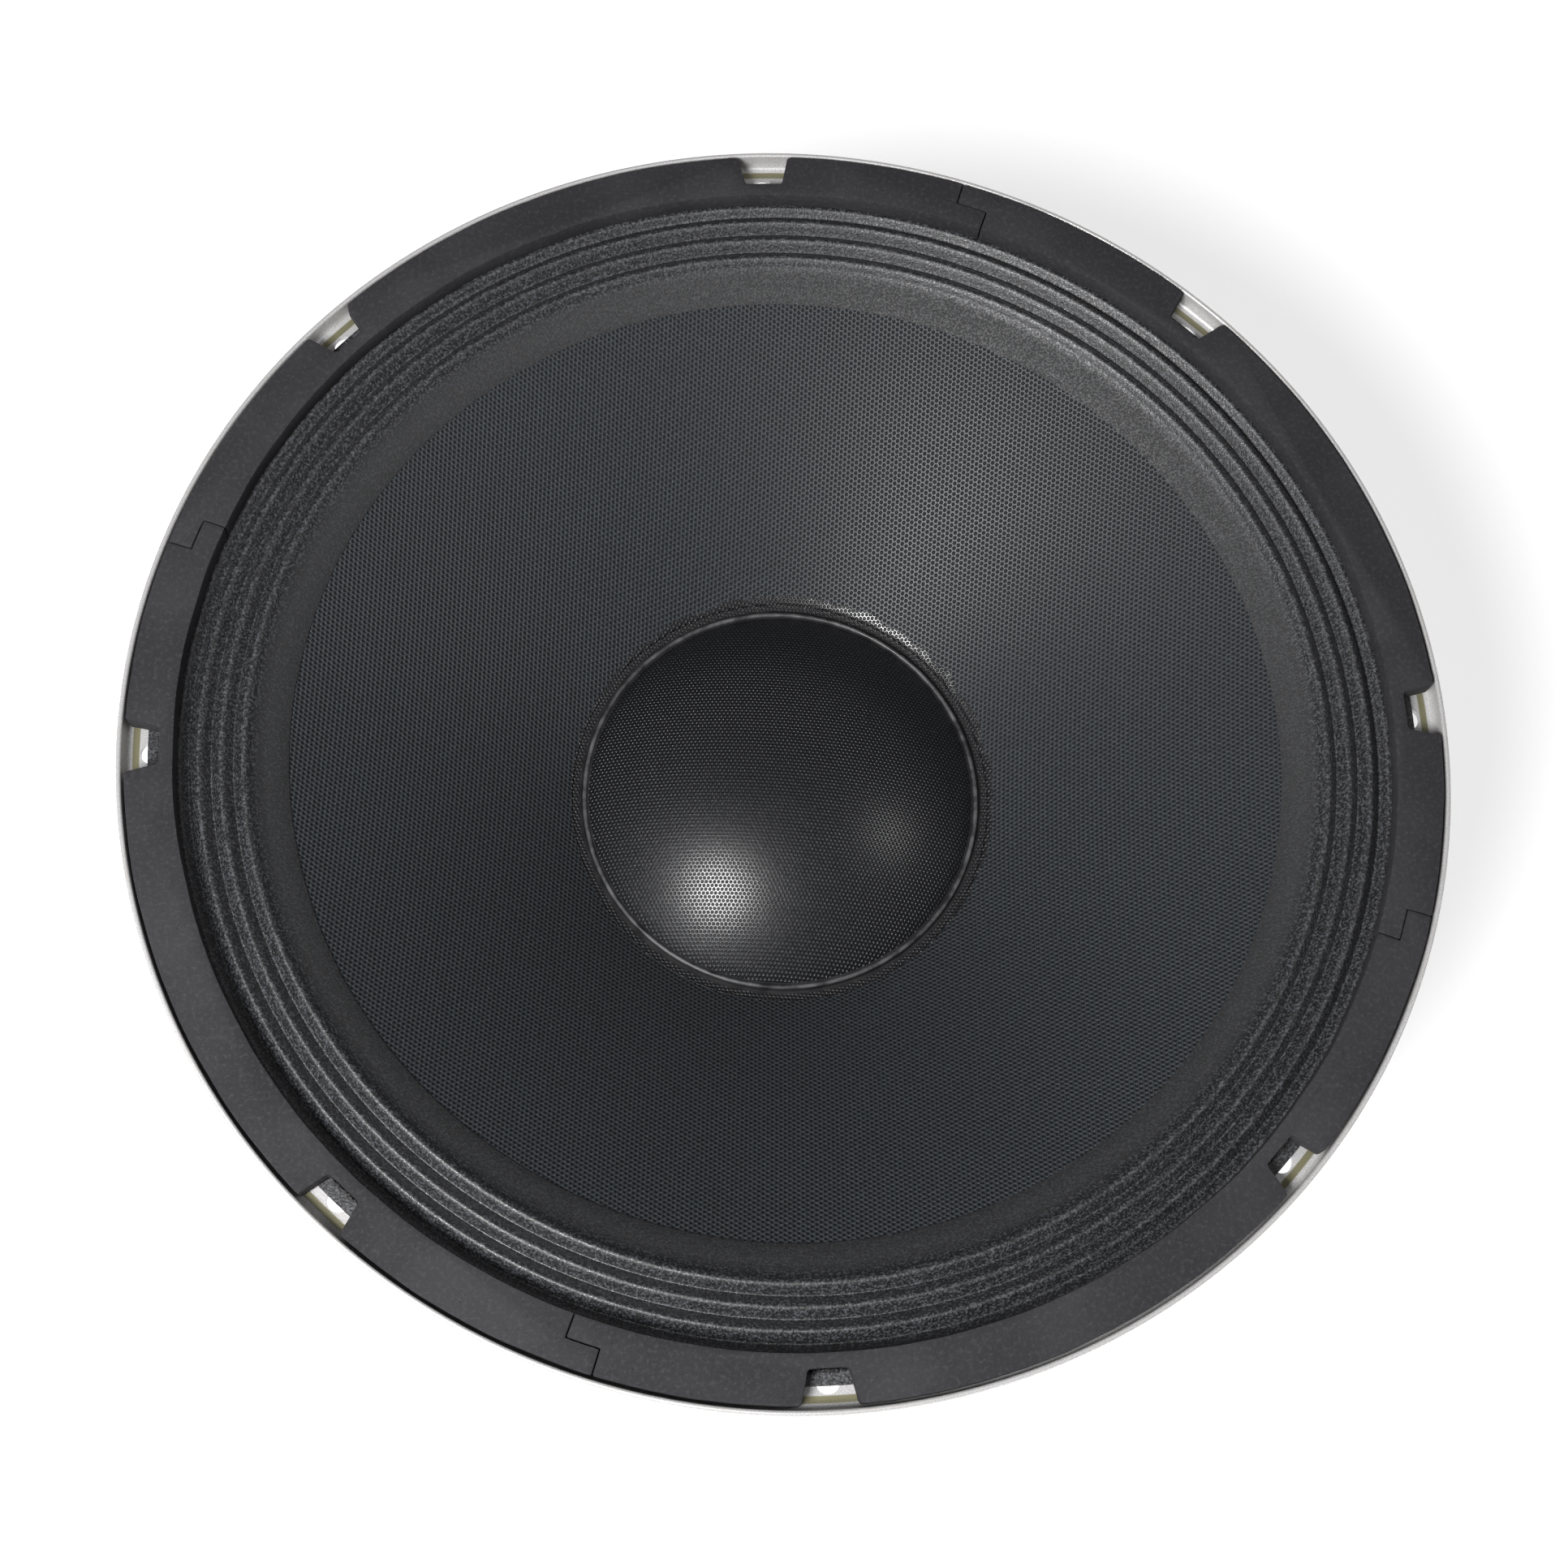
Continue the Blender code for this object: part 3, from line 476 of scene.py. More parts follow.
def fibre():
    m = Nodes("gasket_fibre", (0.043, 0.043, 0.046), 0.92, specular=0.3)
    patches = m.noise(28.0, 4.0, 0.6)
    fine = m.noise(2300.0, 3.0, 0.7)
    stretched = m.vector("MULTIPLY", m.place, (1.0, 0.22, 1.0))
    fibres = m.noise(420.0, 4.0, 0.7, place=stretched, distortion=0.6)
    middling = m.noise(750.0, 3.0, 0.75)
    tone = m.mix(m.remap(patches, 0.35, 0.7), (0.030, 0.029, 0.032), (0.043, 0.042, 0.046))
    tone = m.mix(m.remap(middling, 0.46, 0.74, 0.0, 0.6), tone, (0.075, 0.073, 0.080))
    tone = m.mix(m.remap(fine, 0.42, 0.28, 0.0, 0.7), tone, (0.012, 0.012, 0.014))
    pits = m.remap(m.cells(330.0), 0.0, 0.14, 0.75, 0.0)
    m.colour(m.mix(pits, tone, (0.015, 0.015, 0.017)))
    m.gloss(fine, 0.8, 0.97)
    low = m.bump(fibres, 0.12 * MM, 0.8)
    m.normal(m.bump(fine, 0.09 * MM, 0.9, low))
    return m.material


def treated_cloth():
    """Woven cloth soaked in a dark tacky dope, which dries uneven and glossy in specks. Its colour carries
    painted light: painted sheen on the rolls and, in part, painted glints in the specks.
    """
    m = Nodes("treated_cloth", (0.016, 0.016, 0.018), 0.5, specular=1.0)
    weave = m.weave(0.62 * MM, m.maths("MULTIPLY", m.noise(90.0, 2.0), 0.6 * MM))
    specks = m.noise(1700.0, 2.0, 0.6)
    clots_and_glints = m.noise(1300.0, 2.0, 0.6)
    doped_rolls_and_sheen = m.remap(m.radius(), 154.0 * MM, 157.5 * MM)
    # Painted sheen: the rolls get a lighter colour than the flap; their lower roughness below is the dope's
    # own gloss.
    light = m.mix(doped_rolls_and_sheen, (0.024, 0.025, 0.029), (0.078, 0.080, 0.091))
    # Light specks on near-black: partly the dope's own speckle, partly painted glints.
    m.colour(m.mix(m.remap(clots_and_glints, 0.46, 0.66), (0.006, 0.0063, 0.0074), light))
    rough = m.remap(specks, 0.42, 0.62, 0.60, 0.36)
    m.roughness(m.maths("ADD", rough, m.remap(doped_rolls_and_sheen, 0.0, 1.0, 0.22, 0.0)))
    first = m.bump(weave, 0.03 * MM, 0.4)
    second = m.bump(clots_and_glints, 0.14 * MM, 0.8, first)
    m.normal(m.bump(specks, 0.12 * MM, 0.8, second))
    return m.material


def pressed_paper(name, pitch, turn, colour, roughness, depth, specular, glue_radius=0.0):
    """Paper pressed with a hexagonal pattern of small round dimples."""
    m = Nodes(name, colour, roughness, specular=specular)
    away = m.dots(pitch, turn)
    dimple_and_shade = m.remap(away, 0.43, 0.14)
    fluff = m.noise(1600.0, 3.0, 0.65)
    patches = m.noise(16.0, 4.0, 0.6)
    dark = tuple(0.16 * c for c in colour)
    light = tuple(1.9 * c for c in colour)
    tone = m.mix(m.remap(patches), tuple(0.9 * c for c in colour), colour)
    tone = m.mix(m.remap(fluff, 0.42, 0.72), tone, light)
    # Painted shade: each dimple is coloured much darker than the paper round it.
    tone = m.mix(dimple_and_shade, tone, dark)
    rough = m.remap(fluff, 0.3, 0.7, roughness - 0.06, roughness + 0.06)
    rough = m.maths("ADD", rough, m.maths("MULTIPLY", dimple_and_shade, 0.25))
    if glue_radius:
        ragged = m.maths("MULTIPLY", m.noise(70.0, 3.0), 5.0 * MM)
        reach = m.maths("ADD", m.radius(), ragged)
        heavy = m.vector("DOT_PRODUCT", m.place, (0.53, 0.85, 0.0))
        wet = m.maths("MULTIPLY", m.remap(heavy, -35.0 * MM, 45.0 * MM, 0.05, 1.0),
                      m.remap(reach, glue_radius + 3.6 * MM, glue_radius + 1.8 * MM))
        rough = m.maths("SUBTRACT", rough, m.maths("MULTIPLY", wet, roughness - 0.2))
        tone = m.mix(m.maths("MULTIPLY", wet, 0.6), tone, (0.012, 0.013, 0.014))
    m.colour(tone)
    m.roughness(rough)
    first = m.bump(m.maths("SUBTRACT", 1.0, dimple_and_shade), depth, 1.0)
    m.normal(m.bump(fluff, 0.05 * MM, 0.5, first))
    return m.material


def glue():
    m = Nodes("adhesive", (0.004, 0.004, 0.005), 0.2, specular=0.6)
    lumps = m.noise(800.0, 3.0)
    m.colour(m.mix(m.remap(lumps, 0.4, 0.7), (0.002, 0.002, 0.003), (0.008, 0.008, 0.009)))
    m.gloss(lumps, 0.10, 0.30)
    m.normal(m.bump(lumps, 0.40 * MM, 1.0))
    return m.material


def spider_cloth():
    m = Nodes("spider_cloth", (0.42, 0.29, 0.11), 0.85, specular=0.25)
    weave = m.weave(0.9 * MM)
    patches = m.noise(45.0, 3.0)
    tone = m.mix(m.remap(patches), (0.33, 0.21, 0.07), (0.46, 0.33, 0.14))
    m.colour(m.mix(m.remap(weave, 0.95, 0.72, 0.0, 0.6), tone, (0.14, 0.08, 0.03)))
    m.gloss(patches, 0.78, 0.9)
    m.normal(m.bump(weave, 0.15 * MM, 0.8))
    return m.material


def ferrite():
    m = Nodes("ferrite", (0.055, 0.056, 0.060), 0.55, specular=0.5)
    grit = m.noise(1400.0, 4.0, 0.7)
    clouds = m.noise(35.0, 4.0)
    scratches = m.noise(120.0, 3.0, 0.6, place=m.vector("MULTIPLY", m.place, (1.0, 1.0, 14.0)))
    tone = m.mix(m.remap(clouds), (0.046, 0.047, 0.050), (0.080, 0.081, 0.085))
    m.colour(m.mix(m.remap(grit, 0.5, 0.8, 0.0, 0.5), tone, (0.13, 0.13, 0.135)))
    m.gloss(scratches, 0.45, 0.7)
    m.normal(m.bump(grit, 0.1 * MM, 0.6))
    return m.material


def plated_steel():
    m = Nodes("zinc_plate", (0.62, 0.62, 0.60), 0.3, metallic=1.0)
    clouds = m.noise(55.0, 4.0, 0.6)
    fine = m.noise(1100.0, 3.0)
    turning = m.maths("SINE", m.maths("MULTIPLY", m.radius(), 2 * math.pi / (0.35 * MM)))
    m.shades(clouds, (0.50, 0.51, 0.52), (0.70, 0.69, 0.64))
    m.gloss(clouds, 0.24, 0.42)
    first = m.bump(turning, 0.01 * MM, 0.5)
    m.normal(m.bump(fine, 0.02 * MM, 0.6, first))
    return m.material


def moulded(name, colour, gloss=0.42):
    m = Nodes(name, colour, gloss, specular=0.5)
    grain = m.noise(1900.0, 3.0)
    clouds = m.noise(70.0, 3.0)
    m.shades(clouds, tuple(0.82 * c for c in colour), tuple(1.2 * c for c in colour))
    m.gloss(grain, gloss - 0.08, gloss + 0.12)
    m.normal(m.bump(grain, 0.03 * MM, 0.6))
    return m.material


def metal(name, dark, light, roughness, stripes=0.0):
    m = Nodes(name, light, roughness, metallic=1.0)
    fine = m.noise(900.0, 4.0)
    m.shades(fine, dark, light)
    m.gloss(fine, roughness - 0.08, roughness + 0.12)
    height = fine
    if stripes:
        up = m.vector("DOT_PRODUCT", m.place, (0.0, 0.0, 2 * math.pi / stripes))
        height = m.maths("ABSOLUTE", m.maths("SINE", up))
    m.normal(m.bump(height, 0.06 * MM, 0.7))
    return m.material


def film(name, dark, light, roughness):
    m = Nodes(name, light, roughness)
    clouds = m.noise(180.0, 4.0)
    m.shades(clouds, dark, light)
    m.gloss(clouds, roughness - 0.08, roughness + 0.1)
    m.normal(m.bump(m.noise(1300.0, 3.0), 0.04 * MM, 0.6))
    return m.material


paint = painted_steel()
gasket_board = fibre()
edge_cloth = treated_cloth()
cone_paper = pressed_paper("cone_paper", 1.45 * MM, math.radians(85), (0.029, 0.033, 0.038), 0.46,
                           0.28 * MM, 0.45, CAP_FLANGE)
cap_paper = pressed_paper("cap_paper", 1.25 * MM, math.radians(-6), (0.006, 0.0063, 0.0082), 0.31,
                          0.28 * MM, 0.85)
# The cap's rolled bead is light grey: partly its own lighter paper, partly a painted highlight along it.
bead_paper_and_highlight = film("bead_paper_and_highlight", (0.020, 0.020, 0.022), (0.11, 0.11, 0.115), 0.38)
# The cap's skirt is near black: partly the cap's own black paper, partly painted shade under its bead.
skirt_paper_and_shade = film("skirt_paper_and_shade", (0.004, 0.004, 0.005), (0.009, 0.009, 0.010), 0.5)
flange_paper = pressed_paper("flange_paper", 1.25 * MM, math.radians(-6), (0.016, 0.016, 0.018), 0.3,
                             0.32 * MM, 0.8)
adhesive = glue()
amber_cloth = spider_cloth()
black_ferrite = ferrite()
zinc = plated_steel()
black_plastic = moulded("black_plastic", (0.018, 0.018, 0.019))
red_plastic = moulded("red_plastic", (0.50, 0.018, 0.015), 0.36)
tin = metal("tinned_brass", (0.58, 0.56, 0.50), (0.80, 0.78, 0.72), 0.32)
copper = metal("enamelled_copper", (0.55, 0.20, 0.09), (0.78, 0.34, 0.17), 0.3, stripes=0.3 * MM)
braid = metal("copper_braid", (0.50, 0.22, 0.12), (0.83, 0.46, 0.30), 0.38)
amber_film = film("amber_film", (0.16, 0.07, 0.02), (0.26, 0.13, 0.04), 0.34)
kraft = film("kraft_paper", (0.10, 0.075, 0.05), (0.16, 0.12, 0.08), 0.75)


# --- Basket -----------------------------------------------------------------------------------------

def side_front(radius):
    return SIDE_TOP[1] - (SIDE_TOP[0] - radius) * SIDE_SLOPE


def basket_line():
    """The basket's front face from the top of its lip to the edge of its centre hole."""
    lip = RIM - SHEET
    corners = [
        (lip, LIP_TOP, 0.0),
        (lip, FLANGE, 2.0 * MM),
        (THROAT + 0.7 * MM, FLANGE, 1.3 * MM),
        (THROAT, FLANGE - SHEET, 1.2 * MM),
        (THROAT, SIDE_TOP[1] + 3.5 * MM, 4.0 * MM),
        (SIDE_TOP[0] - 1 * MM, side_front(SIDE_TOP[0] - 1 * MM), 5.0 * MM),
        (SIDE_FOOT[0], SIDE_FOOT[1], 2.0 * MM),
        (88.5 * MM, LEDGE, 2.5 * MM),
        (77.5 * MM, LEDGE, 1.5 * MM),
        (75.6 * MM, CUP_FLOOR, 1.8 * MM),
        (42.5 * MM, CUP_FLOOR, 0.0),
    ]
    line = rounded(corners, 7)
    fine = []
    for a, b in zip(line, line[1:]):
        parts = max(1, int(math.dist(a, b) / (2.0 * MM)))
        fine += [(a[0] + (b[0] - a[0]) * i / parts, a[1] + (b[1] - a[1]) * i / parts)
                 for i in range(parts)]
    return fine + [line[-1]]


def window_half_angle(radius):
    half_width = radius * (math.pi / SPOKES - math.asin(SPOKE_HALF_WIDTH / radius))
    from_end = min(radius - WINDOW[0], WINDOW[1] - radius)
    if from_end < WINDOW_CORNER:
        half_width -= WINDOW_CORNER - math.sqrt(max(
            0.0, WINDOW_CORNER ** 2 - (WINDOW_CORNER - from_end) ** 2))
    return half_width / radius


def window_outline(centre):
    steps = 8
    inner = [WINDOW[0] + WINDOW_CORNER * (1 - math.cos(math.pi / 2 * i / steps))
             for i in range(steps + 1)]
    middle = np.linspace(inner[-1], WINDOW[1] - WINDOW_CORNER, 8)[1:-1]
    outer = [WINDOW[0] + WINDOW[1] - radius for radius in inner[::-1]]
    radii = inner + list(middle) + outer
    half = [window_half_angle(radius) for radius in radii]
    line = [(radius, centre - angle) for radius, angle in zip(radii, half)]
    line += [(WINDOW[1], centre + half[-1] * part) for part in np.linspace(-1, 1, 14)[1:-1]]
    line += [(radius, centre + angle) for radius, angle in zip(radii[::-1], half[::-1])]
    line += [(WINDOW[0], centre - half[0] * part) for part in np.linspace(-1, 1, 8)[1:-1]]
    return [polar(radius, angle) for radius, angle in line]


def rib_height(x, y):
    """Ribs pressed up along the spokes, except along +Y, where the terminals are screwed on."""
    flank, end = 4.0 * MM, 6.0 * MM
    radius = math.hypot(x, y)
    angle = math.atan2(y, x)
    nearest = round(angle / (math.pi / 4))
    if nearest == 2:
        return 0.0
    across = abs(radius * math.sin(angle - nearest * math.pi / 4))
    side = max(0.0, min(1.0, (RIB_HALF_WIDTH - across) / flank))
    ends = max(0.0, min(1.0, (radius - RIB_SPAN[0]) / end, (RIB_SPAN[1] - radius) / end))
    ease = [part * part * (3 - 2 * part) for part in (side, ends)]
    return RIB_HEIGHT * ease[0] * ease[1]


def build_basket():
    line = basket_line()
    rear = [tuple(p) for p in offset(line, SHEET)]
    lip_in, lip_out = line[0], rear[0]
    middle = (lip_in[0] + lip_out[0]) / 2
    crown = [(middle + SHEET / 2 * math.cos(a), lip_in[1] + SHEET / 2 * math.sin(a))
             for a in np.linspace(math.pi, 0, 9)[1:-1]]
    outline = rear[::-1] + crown[::-1] + line
    angles = around(384)
    rings = []
    for radius, height in outline:
        ring = ring_at(radius, height, angles)
        if RIB_SPAN[0] < radius < RIB_SPAN[1]:
            ring[:, 2] += np.array([rib_height(x, y) for x, y, _ in ring])
        rings.append(ring)
    basket = add_mesh("basket_shell", *loft(rings, closed=True), ROOT, paint, "basket", "basket")
    cutter = bmesh.new()
    for k in range(SPOKES):
        outline = window_outline(math.pi / SPOKES * (2 * k + 1))
        low, high = [[cutter.verts.new((x, y, z)) for x, y in outline]
                     for z in (54 * MM, SIDE_TOP[1] + 1 * MM)]
        cutter.faces.new(low[::-1])
        cutter.faces.new(high)
        count = len(outline)
        for i in range(count):
            j = (i + 1) % count
            cutter.faces.new((low[i], low[j], high[j], high[i]))
    bmesh.ops.recalc_face_normals(cutter, faces=cutter.faces)
    subtract(basket, cutter)
    bore(basket, spread(HOLES, HOLE_CIRCLE), HOLE_RADIUS, FLANGE - 4 * MM, FLANGE + 2 * MM)
    bore(basket, spread(SCREWS, SCREW_CIRCLE), 3.2 * MM, CUP_FLOOR - 3 * MM, CUP_FLOOR + 1 * MM, 20)


# --- Gasket -----------------------------------------------------------------------------------------

def gasket_arc(radius, start, end, seed, rough=0.12 * MM):
    count = max(2, int(abs(end - start) * radius / (2.2 * MM)))
    angles = np.linspace(start, end, count + 1)
    ragged = wobble(angles, 23, seed) * rough
    ragged[0] = ragged[-1] = 0.0
    return [polar(radius + out, angle) for angle, out in zip(angles, ragged)]


def notch_line(angle, seed):
    """One notch, clockwise side first, with two equal rounded corners at its mouth."""
    along = Vector((math.cos(angle), math.sin(angle)))
    across = Vector((-along.y, along.x))
    floor = GASKET_OUTER - NOTCH_DEPTH
    mouth = NOTCH_MOUTH / 2
    foot = NOTCH_FOOT / 2
    edge = math.sqrt(GASKET_OUTER ** 2 - (mouth + NOTCH_FLARE) ** 2)
    points = [(edge, -mouth - NOTCH_FLARE, 0.0), (edge + 0.1 * MM, -mouth, 1.6 * MM),
              (floor, -foot, 1.4 * MM), (floor, foot, 1.4 * MM),
              (edge + 0.1 * MM, mouth, 1.6 * MM), (edge, mouth + NOTCH_FLARE, 0.0)]
    line = rounded(points, 5)
    return [tuple(along * depth + across * side) for depth, side in line]


def gasket_outline(first, seed):
    slack = GAP / 2
    quarter = math.pi / 2
    outer = first + SEAM_OUTER
    inner = first + SEAM_INNER
    start_outer = outer + slack / GASKET_OUTER
    end_outer = outer + quarter - slack / GASKET_OUTER
    start_inner = inner + slack / GASKET_INNER
    end_inner = inner + quarter - slack / GASKET_INNER
    half_notch = math.asin((NOTCH_MOUTH / 2 + NOTCH_FLARE) / GASKET_OUTER)
    outline = []
    here = start_outer
    for number, notch in enumerate((first, first + math.pi / 4)):
        outline += gasket_arc(GASKET_OUTER, here, notch - half_notch, seed + number)[:-1]
        outline += notch_line(notch, seed)
        here = notch + half_notch
    outline += gasket_arc(GASKET_OUTER, here, end_outer, seed + 3)[1:]
    outline += gasket_arc(GASKET_STEP + slack, end_outer, end_inner, seed, 0.0)
    outline += gasket_arc(GASKET_INNER, end_inner, start_inner, seed + 4)
    outline += gasket_arc(GASKET_STEP - slack, start_inner, start_outer, seed, 0.0)
    return outline


def build_gasket():
    for number in range(4):
        node = f"gasket_segment_{number + 1}"
        low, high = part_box(node)
        outline = gasket_outline(math.pi / 2 * number, 11 + 7 * number)
        prism(f"gasket_board_{number + 1}", outline, low.z, high.z, 0.45 * MM, gasket_board, node)


def build_notch_glue():
    """Shiny black glue squeezed out from under the gasket at the foot of each notch."""
    for number in range(HOLES):
        angle = math.pi / 4 * number
        along = Vector((math.cos(angle), math.sin(angle), 0.0))
        across = Vector((-along.y, along.x, 0.0))
        sides = np.linspace(-1.0, 1.0, 41)
        lumps = wobble(sides * 3.0 + number, 2, 40 + number)
        drips = wobble(sides * 3.0 + number, 5, 60 + number)
        rings = []
        for side, lump, drip in zip(sides, lumps, drips):
            end = math.sqrt(max(0.02, 1 - side ** 4))
            reach = (0.75 + 0.5 * lump) * MM * end
            rise = (5.2 + 0.9 * drip) * MM * end
            reach, rise = max(reach, 0.15 * MM), max(rise, 0.15 * MM)
            base = along * (GASKET_OUTER - 9.6 * MM) + across * side * 5.3 * MM
            base.z = FLANGE + GAP + CLOTH + 0.05 * MM
            rings.append([base + along * reach * math.cos(a)
                          + Vector((0, 0, rise * math.sin(a)))
                          for a in np.linspace(0.0, math.pi / 2, 7)] + [base])
        add_mesh(f"notch_glue_{number + 1}", *loft(rings), ROOT, adhesive, None, "surround")


# --- Edge, cone and cap -----------------------------------------------------------------------------

def cone_front(radius):
    """Height of the cone's front face: it curves a little more steeply towards the centre."""
    inwards = FLAP_EDGE - radius
    return CONE_EDGE - CONE_SLOPE * inwards - np.maximum(inwards, 0.0) ** 2


def roll_shape(t):
    """How far a roll has dropped from its rounded crest, at 0, to the narrow valley, at 1."""
    return 0.5 * (1 - math.cos(math.pi * t)) / 2 + 0.5 * t ** 2


def edge_line():
    """The cloth edge's front face, from its glued flange inwards over three rolls to the cone."""
    flange = FLANGE + GAP + CLOTH
    bend = 177.6 * MM
    line = [(radius * MM, flange) for radius in (186.2, 184.0, 181.0, 178.6)]
    for t in np.linspace(0.0, 1.0, 9):
        ease = (1 - math.cos(math.pi * t)) / 2
        line.append((bend - t * (bend - CREST - PITCH / 2), flange + (OUTER_VALLEY_TOP - flange) * ease))
    for roll in range(ROLLS):
        peak = CREST - roll * PITCH
        after = VALLEY_TOP + VALLEY_RISE * roll
        before = OUTER_VALLEY_TOP if roll == 0 else after - VALLEY_RISE
        for t in np.linspace(1.0, 0.0, 13)[1:]:
            line.append((peak + PITCH / 2 * t, CREST_TOP - (CREST_TOP - before) * roll_shape(t)))
        for t in np.linspace(0.0, 1.0, 13)[1:]:
            if roll < ROLLS - 1 or t < 0.8:
                line.append((peak - PITCH / 2 * t, CREST_TOP - (CREST_TOP - after) * roll_shape(t)))
    for radius in (154.6, 153.0, 151.0, 149.0, 147.6, 147.0):
        top = cone_front(radius * MM) + CLOTH + 1.4 * GAP
        thin = max(0.0, (150.0 - radius) / 3.0)
        line.append((radius * MM, top - 0.62 * MM * thin ** 1.5))
    return line


def sector_ring(name, front, rear, sectors, columns, material, node):
    """A ring of cloth in equal sectors, each running between the basket and the cone along its own
    radius. Neighbours share their borders' points and normals, so the ring shows no seams."""

    def normals_of(line, side):
        """Normals of a face: most point forwards if side is 1, backwards if it is -1."""
        leg = np.gradient(line, axis=0)
        normal = np.stack([leg[:, 1], -leg[:, 0]], axis=1)
        normal /= np.linalg.norm(normal, axis=1)[:, None]
        return normal if normal[:, 1].mean() * side > 0 else -normal

    front = np.array(front)
    lines = ((front, normals_of(front, 1)), (rear, normals_of(rear, -1)))
    wide = 2 * math.pi / sectors
    count = len(front)
    for number in range(sectors):
        middle = wide * number
        angles = np.linspace(middle - wide / 2, middle + wide / 2, columns + 1)
        verts, normals = [], []
        for line, slopes in lines:
            for angle in angles:
                c, s = math.cos(angle), math.sin(angle)
                verts += [(r * c, r * s, z) for r, z in line]
                normals += [(nr * c, nr * s, nz) for nr, nz in slopes]
        back = (columns + 1) * count
        faces = []
        for j in range(columns):
            for i in range(count - 1):
                a, b = j * count + i, (j + 1) * count + i
                faces.append((a, b, b + 1, a + 1))
                faces.append((back + a, back + a + 1, back + b + 1, back + b))
            for i in (0, count - 1):
                a, b = j * count + i, (j + 1) * count + i
                faces.append((a, b, back + b, back + a))
        for j in (0, columns):
            side = j * count
            for i in range(count - 1):
                faces.append((side + i, side + i + 1, back + side + i + 1, back + side + i))
        piece = add_mesh(f"{name}_{number + 1:02d}", verts, faces, None, material, node, node)
        split = []
        for polygon in piece.data.polygons:
            broad = len({v < back for v in polygon.vertices}) == 1
            split += [normals[v] if broad else tuple(polygon.normal) for v in polygon.vertices]
        piece.data.normals_split_custom_set(split)
        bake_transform(piece)


def build_edge():
    front = edge_line()
    rear = offset(front, CLOTH)
    for point in rear:
        if point[0] < CONE_RIM:
            point[1] = max(point[1], cone_front(point[0]) + 0.15 * MM)
    sector_ring("edge_cloth", front, rear, 24, 16, edge_cloth, "surround")


def build_cone():
    radii = np.concatenate([[CONE_RIM], np.linspace(CONE_RIM - 0.4 * MM, NECK + 0.4 * MM, 40), [NECK]])
    front = [(radius, cone_front(radius)) for radius in radii]
    rear = [tuple(p) for p in offset(front, PAPER)]
    turned("cone_shell", rear + front[::-1], CONE, cone_paper, "cone", "cone", steps=256)


def build_cap():
    chord = CAP_RADIUS - CAP_BEAD
    sphere = (chord ** 2 + CAP_HEIGHT ** 2) / (2 * CAP_HEIGHT)
    widest = math.asin(chord / sphere)
    base = CAP_RIM + CAP_HEIGHT - sphere
    seat = cone_front(CAP_FLANGE) + GAP
    steps = 40

    def arc(radius, numbers):
        return [(max(1e-5, radius * math.sin(widest * i / steps)),
                 base + radius * math.cos(widest * i / steps)) for i in numbers]

    dome = arc(sphere, range(steps - 1))
    bead = [(chord - 0.7 * MM, CAP_RIM + 0.10 * MM)]
    bead += [(CAP_RADIUS - 0.15 * MM + 0.68 * MM * math.cos(a), CAP_RIM + 0.2 * MM + 0.68 * MM * math.sin(a))
             for a in np.linspace(math.radians(190), math.radians(-20), 12)]
    bead += [(CAP_RADIUS + 0.52 * MM, CAP_RIM - 0.9 * MM)]
    skirt = [(CAP_RADIUS + 0.95 * MM, CAP_RIM - 1.45 * MM), (CAP_RADIUS + 1.7 * MM, CAP_RIM - 1.5 * MM),
             (CAP_FLANGE - 0.9 * MM, seat - 0.1 * MM), (CAP_FLANGE, seat + 0.22 * MM),
             (CAP_FLANGE, seat + 0.08 * MM), (CAP_RADIUS + 0.2 * MM, seat - 2.0 * MM)]
    under = arc(sphere - CAP_PAPER, range(steps - 1, -1, -1))
    cap = turned("cap_dome", dome + bead + skirt + under, CONE, cap_paper, "dust_cap", "dust_cap",
                 steps=256, solid=True)
    for extra in (bead_paper_and_highlight, skirt_paper_and_shade, flange_paper):
        cap.data.materials.append(extra)
    for face in cap.data.polygons:
        radius = math.hypot(face.center.x, face.center.y)
        # The bead's top takes the light grey paper with its painted highlight.
        if chord - 0.2 * MM < radius and face.center.z > CAP_RIM:
            face.material_index = 1
        elif CAP_RADIUS + 1.9 * MM < radius:
            face.material_index = 3
        # The skirt, between the bead and the flange, takes the near-black paper with its painted shade.
        elif chord - 0.6 * MM < radius:
            face.material_index = 2


def build_cap_adhesive():
    """A bead of glue of uneven width where the cap's flange meets the cone."""
    angles = around(720)
    heavy = 0.5 + 0.5 * np.cos(angles - math.radians(58))
    width = (0.3 + 2.6 * heavy ** 2) * MM * (1 + 0.3 * wobble(angles, 19, 5))
    height = (0.20 + 0.14 * heavy) * MM * (1 + 0.12 * wobble(angles, 31, 6))
    rings = []
    for part, rise in ((0.0, 0.0), (0.0, 0.9), (0.3, 1.0), (0.7, 0.85), (1.0, 0.15), (1.0, 0.0)):
        radius = CAP_FLANGE + 0.12 * MM + part * width
        rings.append(ring_at(radius, cone_front(radius) + 0.03 * MM + rise * height, angles))
    add_mesh("cap_adhesive", *loft(rings, closed=True), CONE, flange_paper, None, "dust_cap",
             math.radians(80))


def build_coil():
    edge = 0.1 * MM
    for name, node, material, inner in (("former_tube", "coil_former", amber_film, FORMER_BORE),
                                        ("collar_wrap", "coil_collar", kraft, WRAP_BORE),
                                        ("winding", "coil_winding", copper, WRAP_BORE)):
        low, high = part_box(node)
        outer = high.x
        outline = [(outer - edge, high.z), (outer, high.z - edge), (outer, low.z + edge),
                   (outer - edge, low.z), (inner, low.z), (inner, high.z)]
        turned(name, outline, CONE, material, node, node, steps=160)


